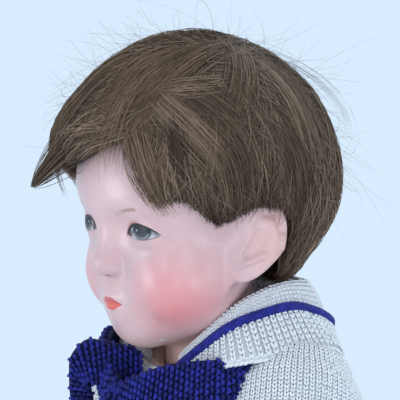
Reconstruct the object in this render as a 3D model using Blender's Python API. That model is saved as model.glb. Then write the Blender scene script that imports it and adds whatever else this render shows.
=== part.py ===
"""Seated cloth doll of a child, about 51 cm tall when stood up.

The head, arms and legs are stuffed cloth skins that turn on card discs, each pair held by a pin.
The doll wears a wig, a knitted sailor sweater, a knitted neckerchief, shorts, socks and strap shoes.
It faces -Y and its own left side is +X. The origin is under the seat, on the surface it sits on.
"""
import math

import bmesh
import bpy
import numpy as np
from mathutils import Matrix

# Fits, in metres
SKIN_GAP = 0.0004        # between a skin and what lies against it
WALL = 0.0014            # cloth skin of the body, arms and legs
CLOTH = 0.0022           # shorts and socks
KNIT = 0.0034            # sweater and collar
BODY_FILLING_GAP = 0.0016
SEAT_GAP = 0.0013        # between the shorts and the sides of the body
SWEATER_GAP = 0.0014     # between the sweater and the body
SWEATER_OUT = SWEATER_GAP + KNIT

# Heights of the seated body, each from the one below it
SHOULDER_HEIGHT = 0.138
NECK_RISE = 0.0365       # top of the body over the shoulder joints
NECK_HEIGHT = SHOULDER_HEIGHT + NECK_RISE
SOCKET_DEPTH = 0.0165
SOCKET_FLOOR = NECK_HEIGHT - SOCKET_DEPTH
NECK_LENGTH = 0.067      # from the neck's flat end up to the eyes
EYE_HEIGHT = SOCKET_FLOOR + NECK_LENGTH

# Head, about its own origin at eye level
HEAD_FORWARD = 0.012
MASK_WALL = 0.0024
FILLING_GAP = 0.0030     # room between the stiff mask and its filling
HEAD_CORE = (0.0, -0.002, -0.004)     # every head surface is seen whole from here
CRANIUM = ((0.0, 0.006, 0.026), (0.048, 0.056, 0.053))
FOREHEAD = ((0.0, -0.015, 0.020), (0.041, 0.037, 0.034))
FACE = ((0.0, -0.011, -0.018), (0.039, 0.032, 0.036))
CHEEK = ((0.020, -0.022, -0.021), (0.020, 0.0185, 0.020))
CHIN = ((0.0, -0.029, -0.043), (0.016, 0.013, 0.012))
MOUTH_MOUND = ((0.0, -0.036, -0.030), (0.015, 0.010, 0.012))
EYE_SOCKET = ((0.0195, -0.053, 0.001), (0.013, 0.009, 0.008))
EYEBALL = ((0.0195, -0.033, -0.0005), (0.012, 0.0095, 0.008))
NOSE_BRIDGE = ((0.0, -0.0425, 0.002), (0.0, -0.0475, -0.013), 0.0042, 0.0050)
NOSE_TIP = ((0.0, -0.0486, -0.0155), (0.0054, 0.0052, 0.0048))
NOSE_WING = ((0.0046, -0.046, -0.017), (0.0036, 0.0042, 0.0032))
UPPER_LIP = ((0.0, -0.0446, -0.0296), (0.008, 0.0036, 0.0029))
LOWER_LIP = ((0.0, -0.0436, -0.0346), (0.0064, 0.0036, 0.0028))
EAR = ((0.0455, 0.009, -0.005), (0.0045, 0.0105, 0.0175))
EAR_LEAN = math.radians(14)           # top of the ear towards the back
EAR_FLARE = math.radians(22)          # back of the ear away from the head
NECK_RADIUS = 0.021
NECK_BACK = 0.010                     # neck centre behind the head's origin
NECK_TOP = -0.059                     # the neck is plain and round below here

# Wig
CAP_CLOTH = 0.0012
CAP_GAP = 0.0022         # room for the cap over the moulded head
HAIR_FORM = ((0.0, 0.003, 0.028), (0.0555, 0.0675, 0.0620))
FRINGE_FORM = ((-0.012, -0.046, 0.037), (0.030, 0.026, 0.022))
NAPE_FORM = ((0.0, 0.034, -0.006), (0.037, 0.024, 0.022))
HAIR_LEAST = 0.0035
HAIR_GAP = 0.0016        # between the hair and its cap
HAIRLINE = (   # angle from the front towards the doll's left, polar angle of the wig's edge
    (0, 58), (20, 47), (40, 62), (58, 70), (72, 77), (84, 70), (92, 63), (118, 63), (126, 85), (132, 100),
    (143, 108), (165, 112), (180, 113), (195, 112), (217, 108), (228, 100), (234, 85), (242, 63), (268, 63),
    (276, 70), (288, 77), (302, 76), (325, 75), (342, 70), (360, 58),
)

# Body: height, half width, depth to the front, depth to the back
BODY_STATIONS = (
    (CLOTH + SKIN_GAP, 0.026, 0.034, 0.037),
    (0.0080, 0.031, 0.040, 0.043),
    (0.0300, 0.034, 0.043, 0.045),
    (0.0560, 0.034, 0.043, 0.044),
    (0.0680, 0.045, 0.043, 0.043),
    (0.1000, 0.046, 0.042, 0.041),
    (SHOULDER_HEIGHT - 0.0030, 0.046, 0.039, 0.039),
    (SHOULDER_HEIGHT + 0.0170, 0.045, 0.035, 0.036),
    (NECK_HEIGHT - 0.0085, 0.040, 0.0330, 0.0330),
    (NECK_HEIGHT - 0.0030, 0.033, 0.0305, 0.0295),
    (NECK_HEIGHT, 0.027, 0.0285, 0.0265),
)
BODY_SQUARENESS = 2.5
HIP_FLAT = 0.030         # flat side that each leg lies against
SIDE_FLAT = 0.042        # flat side that each arm lies against
WAIST_HEIGHTS = (0.0560, 0.0680)      # hip flats below, shoulder flats above
BODY_SIDES = 28
NECK_SLOPE = 0.45        # the neck opening is higher at the back
SLOPE_FROM = SHOULDER_HEIGHT - 0.018
SOCKET_GAP = 0.0016
RIM_DROP = 0.0018        # rim of the neck's socket under the top of the body, clear of the turning jaw

# Joints
DISC_RADIUS = 0.0080
DISC_THICK = 0.0020
PIN_RADIUS = 0.0018
PIN_HEAD_RADIUS = 0.0042
PIN_HEAD_THICK = 0.0014
PIN_GAP = 0.0003
NECK_PLACE = (0.0, NECK_BACK - HEAD_FORWARD, 0.0)
NECK_DISC_RADIUS = 0.0165
SHOULDER_BACK = 0.006
SHOULDER_PLACE = (0.0, SHOULDER_BACK, SHOULDER_HEIGHT)
HIP_HEIGHT = 0.027
HIP_BACK = 0.004
HIP_PLACE = (0.0, HIP_BACK, HIP_HEIGHT)

# Arms: distance down the arm, half thickness, half breadth
ARM_SPREAD = math.radians(26)
ARM_SWING = math.radians(26)
ARM_STATIONS = (
    (-0.0150, 0.0050, 0.0050),
    (-0.0110, 0.0105, 0.0105),
    (0.0000, 0.0152, 0.0155),
    (0.0115, 0.0155, 0.0159),
    (0.0195, 0.0155, 0.0160),
    (0.0350, 0.0155, 0.0160),
    (0.0650, 0.0140, 0.0145),
    (0.0950, 0.0122, 0.0128),
    (0.1130, 0.0095, 0.0102),
    (0.1240, 0.0085, 0.0125),
    (0.1380, 0.0080, 0.0130),
    (0.1520, 0.0060, 0.0095),
    (0.1580, 0.0030, 0.0050),
)
ARM_OUT = 0.0085         # middle of the arm from the body's side, so that the arm is pressed flat there
SLEEVE_OUT = 0.0125
ELBOW = 0.075            # from here down a sleeve is centred on the arm
SLEEVE_STATIONS = (
    (-0.0320, 0.0050, 0.0060),
    (-0.0280, 0.0140, 0.0150),
    (-0.0160, 0.0232, 0.0242),
    (0.0040, 0.0266, 0.0274),
    (0.0400, 0.0258, 0.0262),
    (0.0750, 0.0232, 0.0236),
    (0.0930, 0.0180, 0.0184),
    (0.1130, 0.0150, 0.0156),
)

# Legs: distance down the leg, half breadth, half depth
LEG_STATIONS = (
    (-0.0205, 0.0090, 0.0095),
    (-0.0170, 0.0150, 0.0156),
    (-0.0100, 0.0192, 0.0198),
    (0.0000, 0.0206, 0.0212),
    (0.0450, 0.0205, 0.0210),
    (0.0950, 0.0165, 0.0170),
    (0.1250, 0.0168, 0.0176),
    (0.1600, 0.0135, 0.0140),
    (0.1800, 0.0122, 0.0128),
)
LEG_OUT = 0.0168         # middle of the leg from the body's side, so that the leg is pressed flat there
# Foot: instep point (back, up) and heel or sole point (back, up) of each section, half breadth
FOOT_STATIONS = (
    (-0.0150, -0.1870, 0.0150, -0.1975, 0.0128),
    (-0.0205, -0.1925, 0.0100, -0.2100, 0.0133),
    (-0.0265, -0.1955, -0.0060, -0.2150, 0.0140),
    (-0.0335, -0.1975, -0.0230, -0.2160, 0.0145),
    (-0.0410, -0.1995, -0.0370, -0.2160, 0.0138),
    (-0.0475, -0.2025, -0.0475, -0.2130, 0.0090),
)
FOOT_BOTTOM = 0.2125     # flat underside of the foot, from the hip
SHORTS_LEG_END = 0.078
SHORTS_STATIONS = (
    (-0.0252, 0.0110, 0.0116),
    (-0.0208, 0.0192, 0.0200),
    (-0.0110, 0.0238, 0.0244),
    (0.0000, 0.0246, 0.0252),
    (0.0450, 0.0248, 0.0254),
    (SHORTS_LEG_END, 0.0252, 0.0258),
)
SOCK_TOP = 6.3           # numbered leg section, counted from the hip
SHOE_TOP = 9.0
STRAP_PLACE = 9.9
STRAP_SPAN = 0.7         # share of the way from one section to the next
SHOE_WALL = 0.0018
SHOE_GAP = 0.0010        # between the shoe and the sock
SOLE_THICK = 0.0050
SOLE_MARGIN = 0.0022
BUTTON_RADIUS = 0.0030

# Sweater, collar and neckerchief, placed by height on the body and by angle from the front
HEM_HEIGHT = 0.0585
NECK_EDGE = NECK_HEIGHT - 0.0003
ARMHOLE_ROOM = 0.0040
SLEEVE_CUT = 0.0008      # room between the sweater's side and a sleeve
ARMHOLE_RADIUS = 0.0245
COLLAR_OPEN_SIDES = 2    # sides of the body left open at each side of the front
COLLAR_FOLD = NECK_HEIGHT + 0.0005
COLLAR_STAND = 0.0012    # neck edge of the collar out from the body
KNIT_GAP = 0.0011        # between the sweater, the neckerchief and the collar
BRAID_RADIUS = 0.0013
BRAID_SHARE = 0.62       # of the way out across the collar
SCARF_THICK = 0.0030
SCARF_IN = SWEATER_OUT + KNIT_GAP
SCARF_OUT = SCARF_IN + SCARF_THICK
COLLAR_IN = SCARF_OUT + KNIT_GAP
# Angle from the front in degrees, height over the top of the body
COLLAR_TOP = ((0, 0.0005), (30, 0.0020), (60, 0.0045), (90, 0.0055), (180, 0.0055))
COLLAR_EDGE = ((30, -0.0105), (60, -0.0085), (90, -0.0045), (115, -0.0085), (140, -0.0265), (155, -0.0345),
               (180, -0.0365))
SCARF_LOW = ((0, -0.0345), (45, -0.0225), (75, -0.0075), (90, -0.0055), (120, -0.0085), (180, -0.0125))
SCARF_HIGH = ((0, -0.0145), (45, -0.0055), (75, -0.0020), (90, -0.0010), (120, -0.0010), (180, -0.0010))
KNOT_HALF = (0.013, 0.007, 0.011)
KNOT_LIFT = 0.0020       # middle of the knot over the middle of the band in front
KNOT_HEIGHT = NECK_HEIGHT + 0.5 * (SCARF_LOW[0][1] + SCARF_HIGH[0][1]) + KNOT_LIFT
TAIL_LENGTH = 0.060
TAIL_WIDTH = 0.028

SIDES = {"left": 1, "right": -1}
PALETTE = {
    "paint": ((0.80, 0.56, 0.50), 0.40), "muslin": ((0.74, 0.55, 0.44), 0.85),
    "wool": ((0.80, 0.78, 0.74), 0.90), "blue_wool": ((0.03, 0.03, 0.22), 0.90),
    "hair": ((0.13, 0.085, 0.05), 0.60), "gauze": ((0.70, 0.66, 0.58), 0.90),
    "stuffing": ((0.72, 0.66, 0.52), 0.95), "card": ((0.45, 0.33, 0.20), 0.80),
    "steel": ((0.55, 0.55, 0.55), 0.35), "navy_cloth": ((0.03, 0.04, 0.12), 0.85),
    "sock": ((0.82, 0.81, 0.78), 0.90), "leather": ((0.16, 0.075, 0.035), 0.45),
    "sole": ((0.30, 0.19, 0.10), 0.60), "button": ((0.75, 0.72, 0.64), 0.30),
}


# Materials and mesh helpers
def material(name):
    made = bpy.data.materials.get(name)
    if made is None:
        colour, roughness = PALETTE[name]
        made = bpy.data.materials.new(name)
        made.use_nodes = True
        shader = made.node_tree.nodes["Principled BSDF"]
        shader.inputs["Base Color"].default_value = (*colour, 1.0)
        shader.inputs["Roughness"].default_value = roughness
        shader.inputs["Metallic"].default_value = 1.0 if name == "steel" else 0.0
    return made


def add_object(name, mesh_builder, finish, parent=None, helper=False):
    """Makes a named object from a bmesh with its faces pointing out. A helper only cuts other objects."""
    bmesh.ops.remove_doubles(mesh_builder, verts=mesh_builder.verts, dist=1e-6)
    bmesh.ops.recalc_face_normals(mesh_builder, faces=mesh_builder.faces)
    mesh = bpy.data.meshes.new(name)
    mesh_builder.to_mesh(mesh)
    mesh_builder.free()
    mesh.materials.append(material(finish))
    mesh.shade_smooth()
    mesh.set_sharp_from_angle(angle=math.radians(40))
    made = bpy.data.objects.new(name, mesh)
    bpy.context.scene.collection.objects.link(made)
    made.parent = parent
    if helper:
        made.hide_render = True
        made.display_type = "WIRE"
    return made


def add_empty(name, place, turn=None):
    made = bpy.data.objects.new(name, None)
    made.location = place
    if turn is not None:
        made.rotation_euler = turn
    bpy.context.scene.collection.objects.link(made)
    return made


def combine(target, other, operation):
    modifier = target.modifiers.new(other.name, "BOOLEAN")
    modifier.operation = operation
    modifier.object = other
    modifier.solver = "EXACT"


def cut(target, cutter):
    combine(target, cutter, "DIFFERENCE")


def merge(target, other):
    combine(target, other, "UNION")


def add_rings(mesh_builder, rings, loop=False, caps=True):
    """Faces between rings of equal size. caps closes both ends; loop joins the last ring to the first."""
    made = [[mesh_builder.verts.new(p) for p in ring] for ring in rings]
    pairs = list(zip(made, made[1:]))
    if loop:
        pairs.append((made[-1], made[0]))
    for one, two in pairs:
        for i in range(len(one)):
            j = (i + 1) % len(one)
            mesh_builder.faces.new((one[i], one[j], two[j], two[i]))
    if caps and not loop:
        mesh_builder.faces.new(made[0][::-1])
        mesh_builder.faces.new(made[-1])


def ring_solid(name, rings, finish, parent=None, loop=False, helper=False):
    mesh_builder = bmesh.new()
    add_rings(mesh_builder, rings, loop)
    return add_object(name, mesh_builder, finish, parent, helper)


def turned(profile, sides, axis="X"):
    """Rings of a turned piece: profile holds (distance along the axis, radius)."""
    rings = []
    for along, radius in profile:
        angles = np.arange(sides) * 2 * math.pi / sides
        a, b = radius * np.cos(angles), radius * np.sin(angles)
        flat = np.full(sides, along)
        rings.append(np.stack((flat, a, b) if axis == "X" else (a, b, flat), axis=1))
    return rings


# Head surfaces
def ellipsoid(points, form):
    centre, radii = np.array(form[0]), np.array(form[1])
    offset = points - centre
    near = np.linalg.norm(offset / radii, axis=-1)
    slope = np.linalg.norm(offset / radii**2, axis=-1)
    return near * (near - 1.0) / np.maximum(slope, 1e-9)


def capsule(points, start, end, start_radius, end_radius):
    start, end = np.array(start), np.array(end)
    run = end - start
    t = np.clip((points - start) @ run / (run @ run), 0.0, 1.0)
    spine = start + t[..., None] * run
    return np.linalg.norm(points - spine, axis=-1) - (start_radius + (end_radius - start_radius) * t)


def join(first, second, blend):
    h = np.clip(0.5 + 0.5 * (second - first) / blend, 0.0, 1.0)
    return second + (first - second) * h - blend * h * (1.0 - h)


def ear_rings(side, sides=14, rows=8):
    """An ear: a flattened oval that leans back at the top and stands away from the head at the back."""
    turn = Matrix.Rotation(-EAR_LEAN, 3, "X") @ Matrix.Rotation(-EAR_FLARE, 3, "Z")
    around = full_turn(sides)
    rings = []
    for polar in np.linspace(0.25, math.pi - 0.25, rows):
        ring = np.stack((math.sin(polar) * np.cos(around), math.sin(polar) * np.sin(around),
                         np.full(sides, math.cos(polar))), 1) * np.array(EAR[1])
        rings.append(ring @ np.array(turn).T + np.array(EAR[0]))
    return mirror(rings, side)


def head_distance(points):
    """Distance from the moulded head's outer surface without its ears, in the head's own frame."""
    mirrored = points.copy()
    mirrored[..., 0] = np.abs(mirrored[..., 0])
    d = ellipsoid(mirrored, CRANIUM)
    large_forms = ((FOREHEAD, 0.014), (FACE, 0.014), (CHEEK, 0.010), (CHIN, 0.009), (MOUTH_MOUND, 0.007))
    for form, blend in large_forms:
        d = join(d, ellipsoid(mirrored, form), blend)
    d = -join(-d, ellipsoid(mirrored, EYE_SOCKET), 0.007)
    d = join(d, ellipsoid(mirrored, EYEBALL), 0.004)
    d = join(d, capsule(mirrored, *NOSE_BRIDGE), 0.006)
    for form, blend in ((NOSE_TIP, 0.003), (NOSE_WING, 0.0025), (UPPER_LIP, 0.0025), (LOWER_LIP, 0.002)):
        d = join(d, ellipsoid(mirrored, form), blend)
    neck_top, neck_bottom = (0.0, NECK_BACK, -0.040), (0.0, NECK_BACK, -0.120)
    return join(d, capsule(mirrored, neck_top, neck_bottom, NECK_RADIUS, NECK_RADIUS), 0.008)


def hair_distance(points):
    """Distance from the outside of the combed wig, with the fringe swept to the doll's right."""
    d = ellipsoid(points, HAIR_FORM)
    d = join(d, ellipsoid(points, FRINGE_FORM), 0.010)
    return join(d, ellipsoid(points, NAPE_FORM), 0.012)


def trace(directions, distance, start=0.13, steps=80):
    """Where rays from the head's core leave a surface, found from outside inwards."""
    core = np.array(HEAD_CORE)
    reach = np.full(directions.shape[:-1], start)
    for _ in range(steps):
        reach = reach - 0.75 * distance(core + directions * reach[..., None])
    return core + directions * reach[..., None]


def fan(angles, polar):
    """Unit vectors at these angles from the front and polar angles from the top."""
    return np.stack((np.sin(polar) * np.sin(angles), -np.sin(polar) * np.cos(angles), np.cos(polar)), -1)


def neck_polar(angles, level):
    """Polar angle at which a ray from the core meets the neck's wall at a level in the head's frame."""
    core = np.array(HEAD_CORE)
    ahead = np.stack((np.sin(angles), -np.cos(angles)), -1)
    offset = core[:2] - np.array((0.0, NECK_BACK))
    along = ahead @ offset
    reach = -along + np.sqrt(along**2 - offset @ offset + NECK_RADIUS**2)
    return np.pi - np.arctan2(reach, core[2] - level)


def head_rings(sides, rows, inset, level):
    """Rings down the head from the crown, under the chin and down the neck to its flat end at a level."""
    angles = np.arange(sides) * 2 * math.pi / sides
    under_chin = neck_polar(angles, NECK_TOP)
    polars = [share * under_chin for share in np.linspace(1.0 / rows, 1.0, rows)]
    polars.append(neck_polar(angles, level))
    rings = [trace(fan(angles, polar), lambda p: head_distance(p) + inset) for polar in polars]
    rings[-1][:, 2] = level
    return rings


def filling_rings(sides, rows):
    """The ball of filling in the head, clear of the mask and above the neck's joint."""
    angles = np.arange(sides) * 2 * math.pi / sides

    def distance(points):
        return join(ellipsoid(points, CRANIUM), ellipsoid(points, FACE), 0.014) + MASK_WALL + FILLING_GAP
    polars = np.linspace(math.radians(12), math.radians(168), rows)
    return [trace(fan(angles, np.full(sides, polar)), distance) for polar in polars]


def wig_rings(sides, rows, distance):
    """Rings from the crown to the wig's edge on a surface given by its distance."""
    angles = np.arange(sides) * 2 * math.pi / sides
    table = np.radians(np.array(HAIRLINE, float))
    edge = np.interp(angles, table[:, 0], table[:, 1])
    return [trace(fan(angles, share * edge), distance) for share in np.linspace(1.0 / rows, 1.0, rows)]


# Body surfaces
def body_point(angles, height, grow=0.0):
    """Points round the body at a height, grown outwards, with flat sides where the limbs lie."""
    table = np.array(BODY_STATIONS)
    half, front, back = (np.interp(height, table[:, 0], table[:, k]) + grow for k in (1, 2, 3))
    power = 2.0 / BODY_SQUARENESS
    sine, cosine = np.sin(angles), np.cos(angles)
    x = half * np.sign(sine) * np.abs(sine) ** power
    y = -np.where(cosine > 0, front, back) * np.sign(cosine) * np.abs(cosine) ** power
    flat = np.interp(height, WAIST_HEIGHTS, (HIP_FLAT, SIDE_FLAT)) + grow
    rise = np.clip((height - SLOPE_FROM) / (BODY_STATIONS[-1][0] - SLOPE_FROM), 0.0, 1.0)
    z = height + NECK_SLOPE * rise**2 * y
    return np.stack((np.clip(x, -flat, flat), y, np.broadcast_to(z, x.shape)), -1)


def body_rings(angles, grow, first, last):
    """Rings round the body from one height to another, through every station between them."""
    heights = [station[0] for station in BODY_STATIONS if first < station[0] < last]
    return [body_point(angles, h, grow) for h in (first, *heights, last)]


def full_turn(sides):
    return (np.arange(sides) + 0.5) * 2 * math.pi / sides


# Discs and pins of a turning joint, along X from the flat where two skins meet or up from the socket floor
def stack(flat):
    """Places along a joint: body disc, pin head, then limb disc and pin head on the far side."""
    body_high = flat - WALL - SKIN_GAP
    limb_low = flat + SKIN_GAP + WALL + SKIN_GAP
    pin_reach = DISC_THICK + PIN_GAP + PIN_HEAD_THICK
    return {
        "body_disc": (body_high - DISC_THICK, body_high),
        "limb_disc": (limb_low, limb_low + DISC_THICK),
        "pin": (body_high - pin_reach, limb_low + pin_reach),
    }


def mirror(rings, side):
    return [ring * np.array((side, 1, 1)) for ring in rings]


def move(rings, place):
    return [ring + np.array(place) for ring in rings]


def add_disc(name, low, high, place, side=1, axis="X", parent=None, radius=DISC_RADIUS):
    hole = PIN_RADIUS + PIN_GAP
    rings = turned(((low, radius), (high, radius), (high, hole), (low, hole)), 12, axis)
    ring_solid(name, move(mirror(rings, side), place), "card", parent, loop=True)


def add_pin(name, low, high, place, side=1, axis="X"):
    under, over = low + PIN_HEAD_THICK, high - PIN_HEAD_THICK
    profile = ((low, PIN_HEAD_RADIUS), (under, PIN_HEAD_RADIUS), (under, PIN_RADIUS),
               (over, PIN_RADIUS), (over, PIN_HEAD_RADIUS), (high, PIN_HEAD_RADIUS))
    ring_solid(name, move(mirror(turned(profile, 8, axis), side), place), "steel")


def rod(low, high, radius, place, side=1, axis="X"):
    return move(mirror(turned(((low, radius), (high, radius)), 16, axis), side), place)


def add_cutters(name, rods, parent=None):
    mesh_builder = bmesh.new()
    for rings in rods:
        add_rings(mesh_builder, rings)
    return add_object(name, mesh_builder, "card", parent, helper=True)


# Body
def torso_rings(inset):
    """Skin of the body with the neck's round socket let into its top."""
    angles = full_turn(BODY_SIDES)
    top = NECK_HEIGHT - RIM_DROP - 3.2 * inset
    rings = body_rings(angles, -inset, BODY_STATIONS[0][0] + inset, top)
    radius = NECK_RADIUS + SOCKET_GAP + inset
    x, y = radius * np.sin(angles), NECK_PLACE[1] - radius * np.cos(angles)
    rings.append(np.stack((x, y, top + NECK_SLOPE * y), 1))
    rings.append(np.stack((x, y, np.full(len(x), SOCKET_FLOOR - inset)), 1))
    return rings


def neck_stack():
    return stack(SOCKET_FLOOR)


def body_rods(radius, deeper):
    """Rods through the body's skin at the five joints, reaching deeper than each pin."""
    rods = []
    for flat, place in ((SIDE_FLAT, SHOULDER_PLACE), (HIP_FLAT, HIP_PLACE)):
        low = stack(flat)["pin"][0] - deeper
        for side in SIDES.values():
            rods.append(rod(low, flat + 0.004, radius, place, side))
    low = neck_stack()["pin"][0] - deeper
    rods.append(rod(low, SOCKET_FLOOR + 0.004, radius, NECK_PLACE, axis="Z"))
    return rods


def add_torso():
    cover = ring_solid("torso_cover", torso_rings(0.0), "muslin")
    cut(cover, ring_solid("torso_hollow", torso_rings(WALL), "muslin", helper=True))
    cut(cover, add_cutters("torso_pin_holes", body_rods(PIN_RADIUS + PIN_GAP, 0.0)))
    filling = ring_solid("torso_stuffing", torso_rings(WALL + BODY_FILLING_GAP), "stuffing")
    pocket = max(DISC_RADIUS, NECK_DISC_RADIUS) + SKIN_GAP
    cut(filling, add_cutters("torso_disc_pockets", body_rods(pocket, SKIN_GAP)))
    for joint, flat, place in (("shoulder", SIDE_FLAT, SHOULDER_PLACE), ("hip", HIP_FLAT, HIP_PLACE)):
        for label, side in SIDES.items():
            levels = stack(flat)
            add_disc(f"{label}_{joint}_body_disc", *levels["body_disc"], place, side)
            add_pin(f"{label}_{joint}_pin", *levels["pin"], place, side)
    add_disc("neck_body_disc", *neck_stack()["body_disc"], NECK_PLACE, axis="Z")
    add_pin("neck_pin", *neck_stack()["pin"], NECK_PLACE, axis="Z")


# Head and wig
def add_head():
    axis = add_empty("neck_axis", (0.0, NECK_PLACE[1], SOCKET_FLOOR))
    place = np.array((0.0, -HEAD_FORWARD, EYE_HEIGHT)) - np.array(axis.location)
    level = SOCKET_FLOOR + SKIN_GAP - EYE_HEIGHT
    outer = head_rings(32, 20, 0.0, level)
    inner = head_rings(32, 12, MASK_WALL, level)
    skin = bmesh.new()
    add_shell(skin, move(outer, place), move(inner, place))
    mask = add_object("head_mask", skin, "paint", axis)
    for label, side in SIDES.items():
        ear = ring_solid(f"{label}_ear_shape", move(ear_rings(side), place), "paint", axis, helper=True)
        merge(mask, ear)
    ring_solid("head_stuffing", move(filling_rings(20, 10), place), "stuffing", axis)
    low, high = neck_stack()["limb_disc"]
    levels = (low - SOCKET_FLOOR, high - SOCKET_FLOOR)
    add_disc("neck_head_disc", *levels, (0, 0, 0), 1, "Z", axis, NECK_DISC_RADIUS)

    def over_head(points, rise):
        return head_distance(points) - rise
    cap_high = CAP_GAP + CAP_CLOTH
    hair_low = cap_high + HAIR_GAP
    layers = {
        "wig_cap": (lambda p: over_head(p, cap_high), lambda p: over_head(p, CAP_GAP), "gauze", 32, 12),
        "wig_hair": (lambda p: np.minimum(hair_distance(p), over_head(p, hair_low + HAIR_LEAST)),
                     lambda p: over_head(p, hair_low), "hair", 32, 12),
    }
    for name, (high_surface, low_surface, finish, sides, rows) in layers.items():
        skin = bmesh.new()
        add_shell(skin, move(wig_rings(sides, rows, high_surface), place),
                  move(wig_rings(sides, rows, low_surface), place))
        add_object(name, skin, finish, axis)


def add_shell(mesh_builder, outer, inner):
    """A cup: closed at its first rings, open at its last, which are joined by a rim."""
    add_rings(mesh_builder, outer + inner[::-1])


# Arms and sleeves
def arm_rings(stations, inset, out, sides=10):
    """Rings down an arm or sleeve in the shoulder's frame. Its middle starts this far out from the body."""
    angles = full_turn(sides)
    down = np.array((math.sin(ARM_SPREAD), 0.0, -math.cos(ARM_SPREAD)))
    across = np.array((math.cos(ARM_SPREAD), 0.0, math.sin(ARM_SPREAD)))
    back = np.array((0.0, 1.0, 0.0))
    rings = []
    for k, (along, thick, broad) in enumerate(stations):
        along += inset * ((k == 0) - (k == len(stations) - 1))
        centre = np.array((np.interp(along, (0.0, ELBOW), (out, ARM_OUT)), 0.0, 0.0)) + down * along
        rings.append(centre + np.outer((thick - inset) * np.cos(angles), across)
                     + np.outer((broad - inset) * np.sin(angles), back))
    return rings


def flattened(rings, outermost, plane, clear):
    """Rings pressed against a plane within the armhole, and kept clear of the clothes outside it."""
    pressed = []
    for ring, outer in zip(rings, outermost):
        from_joint = np.hypot(outer[:, 1], outer[:, 2])
        limit = np.where(from_joint < ARMHOLE_RADIUS - ARMHOLE_ROOM, plane, plane + clear)
        pressed.append(np.column_stack((np.maximum(ring[:, 0], limit), ring[:, 1:])))
    return pressed


def add_limb(label, side, limb, axis, flat, clear, rings_at):
    """Skin, filling and disc of an arm or leg. rings_at gives its rings for an inset."""
    levels = {key: (low - flat, high - flat) for key, (low, high) in stack(flat).items()}

    def skin_rings(inset):
        return mirror(flattened(rings_at(inset), rings_at(0.0), SKIN_GAP + inset, clear), side)
    cover = ring_solid(f"{label}_{limb}_cover", skin_rings(0.0), "muslin", axis)
    cut(cover, ring_solid(f"{label}_{limb}_hollow", skin_rings(WALL), "muslin", axis, helper=True))
    far = levels["pin"][1]
    hole = [rod(-0.004, far, PIN_RADIUS + PIN_GAP, (0, 0, 0), side)]
    cut(cover, add_cutters(f"{label}_{limb}_pin_hole", hole, axis))
    filling = ring_solid(f"{label}_{limb}_stuffing", skin_rings(WALL + BODY_FILLING_GAP), "stuffing", axis)
    pocket = [rod(-0.004, far + SKIN_GAP, DISC_RADIUS + SKIN_GAP, (0, 0, 0), side)]
    cut(filling, add_cutters(f"{label}_{limb}_disc_pocket", pocket, axis))
    add_disc(f"{label}_{limb}_disc", *levels["limb_disc"], (0, 0, 0), side, parent=axis)


def box_rings(x_range, y_range, z_range):
    """A box as two four-cornered rings."""
    (near, far), (low, high) = y_range, z_range
    corners = ((near, low), (far, low), (far, high), (near, high))
    return [np.array([(x, y, z) for y, z in corners]) for x in x_range]


def add_garment_tube(name, finish, axis, side, outer, inner, opening):
    """A sleeve or trouser leg: a cup round the limb, cut open at a plane facing the body."""
    skin = bmesh.new()
    add_shell(skin, mirror(outer, side), mirror(inner, side))
    tube = add_object(name, skin, finish, axis)
    reach = 0.08
    box = box_rings((-reach, opening), (-reach, reach), (-reach, reach))
    cut(tube, add_cutters(f"{name}_opening", [mirror(box, side)], axis))


def add_arm(label, side):
    place = np.array(SHOULDER_PLACE) + np.array((side * SIDE_FLAT, 0.0, 0.0))
    axis = add_empty(f"{label}_shoulder_axis", place, (-ARM_SWING, 0.0, 0.0))

    def rings_at(inset):
        return arm_rings(ARM_STATIONS, inset, ARM_OUT)
    add_limb(label, side, "arm", axis, SIDE_FLAT, SWEATER_OUT, rings_at)
    outer = arm_rings(SLEEVE_STATIONS, 0.0, SLEEVE_OUT, 14)
    inner = arm_rings(SLEEVE_STATIONS, KNIT, SLEEVE_OUT, 14)
    inner[-1] = inner[-1] - (inner[-1].mean(0) - outer[-1].mean(0))
    add_garment_tube(f"{label}_sleeve", "wool", axis, side, outer, inner, SWEATER_OUT + SLEEVE_CUT)


# Legs, shorts, socks and shoes
def leg_rows(stations, foot):
    """Sections down the leg, and on to the toes when foot is set, all written as foot sections are."""
    rows = [(-deep, -down, deep, -down, half) for down, half, deep in stations]
    return np.array(rows + list(FOOT_STATIONS) if foot else rows)


def leg_ring(angles, row, grow):
    """One section of the leg or foot, grown outwards, with the underside of the foot kept flat."""
    instep, heel, half = row[0:2], row[2:4], row[4]
    middle, reach = 0.5 * (instep + heel), 0.5 * (heel - instep)
    reach = reach * (1.0 + grow / np.linalg.norm(reach))
    x = LEG_OUT + (half + grow) * np.cos(angles)
    y, z = (middle[k] + reach[k] * np.sin(angles) for k in (0, 1))
    return np.stack((x, y, np.maximum(z, -FOOT_BOTTOM - grow)), 1)


def leg_rings(grow, first=0.0, stations=LEG_STATIONS, foot=True, sides=14):
    """Rings down the leg from a section, which may lie between two of them. Closed ends are grown too."""
    rows = leg_rows(stations, foot)
    if first > 0:
        places = [first, *range(math.floor(first) + 1, len(rows))]
        rows = np.array([section_at(rows, place) for place in places])
    else:
        rows[0, [1, 3]] += grow
    if foot:
        rows[-1, [0, 2]] -= grow
    return [leg_ring(full_turn(sides), row, grow) for row in rows]


def section_at(rows, place):
    """A section part of the way between two numbered sections."""
    return np.array([np.interp(place, np.arange(len(rows)), column) for column in rows.T])


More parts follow.
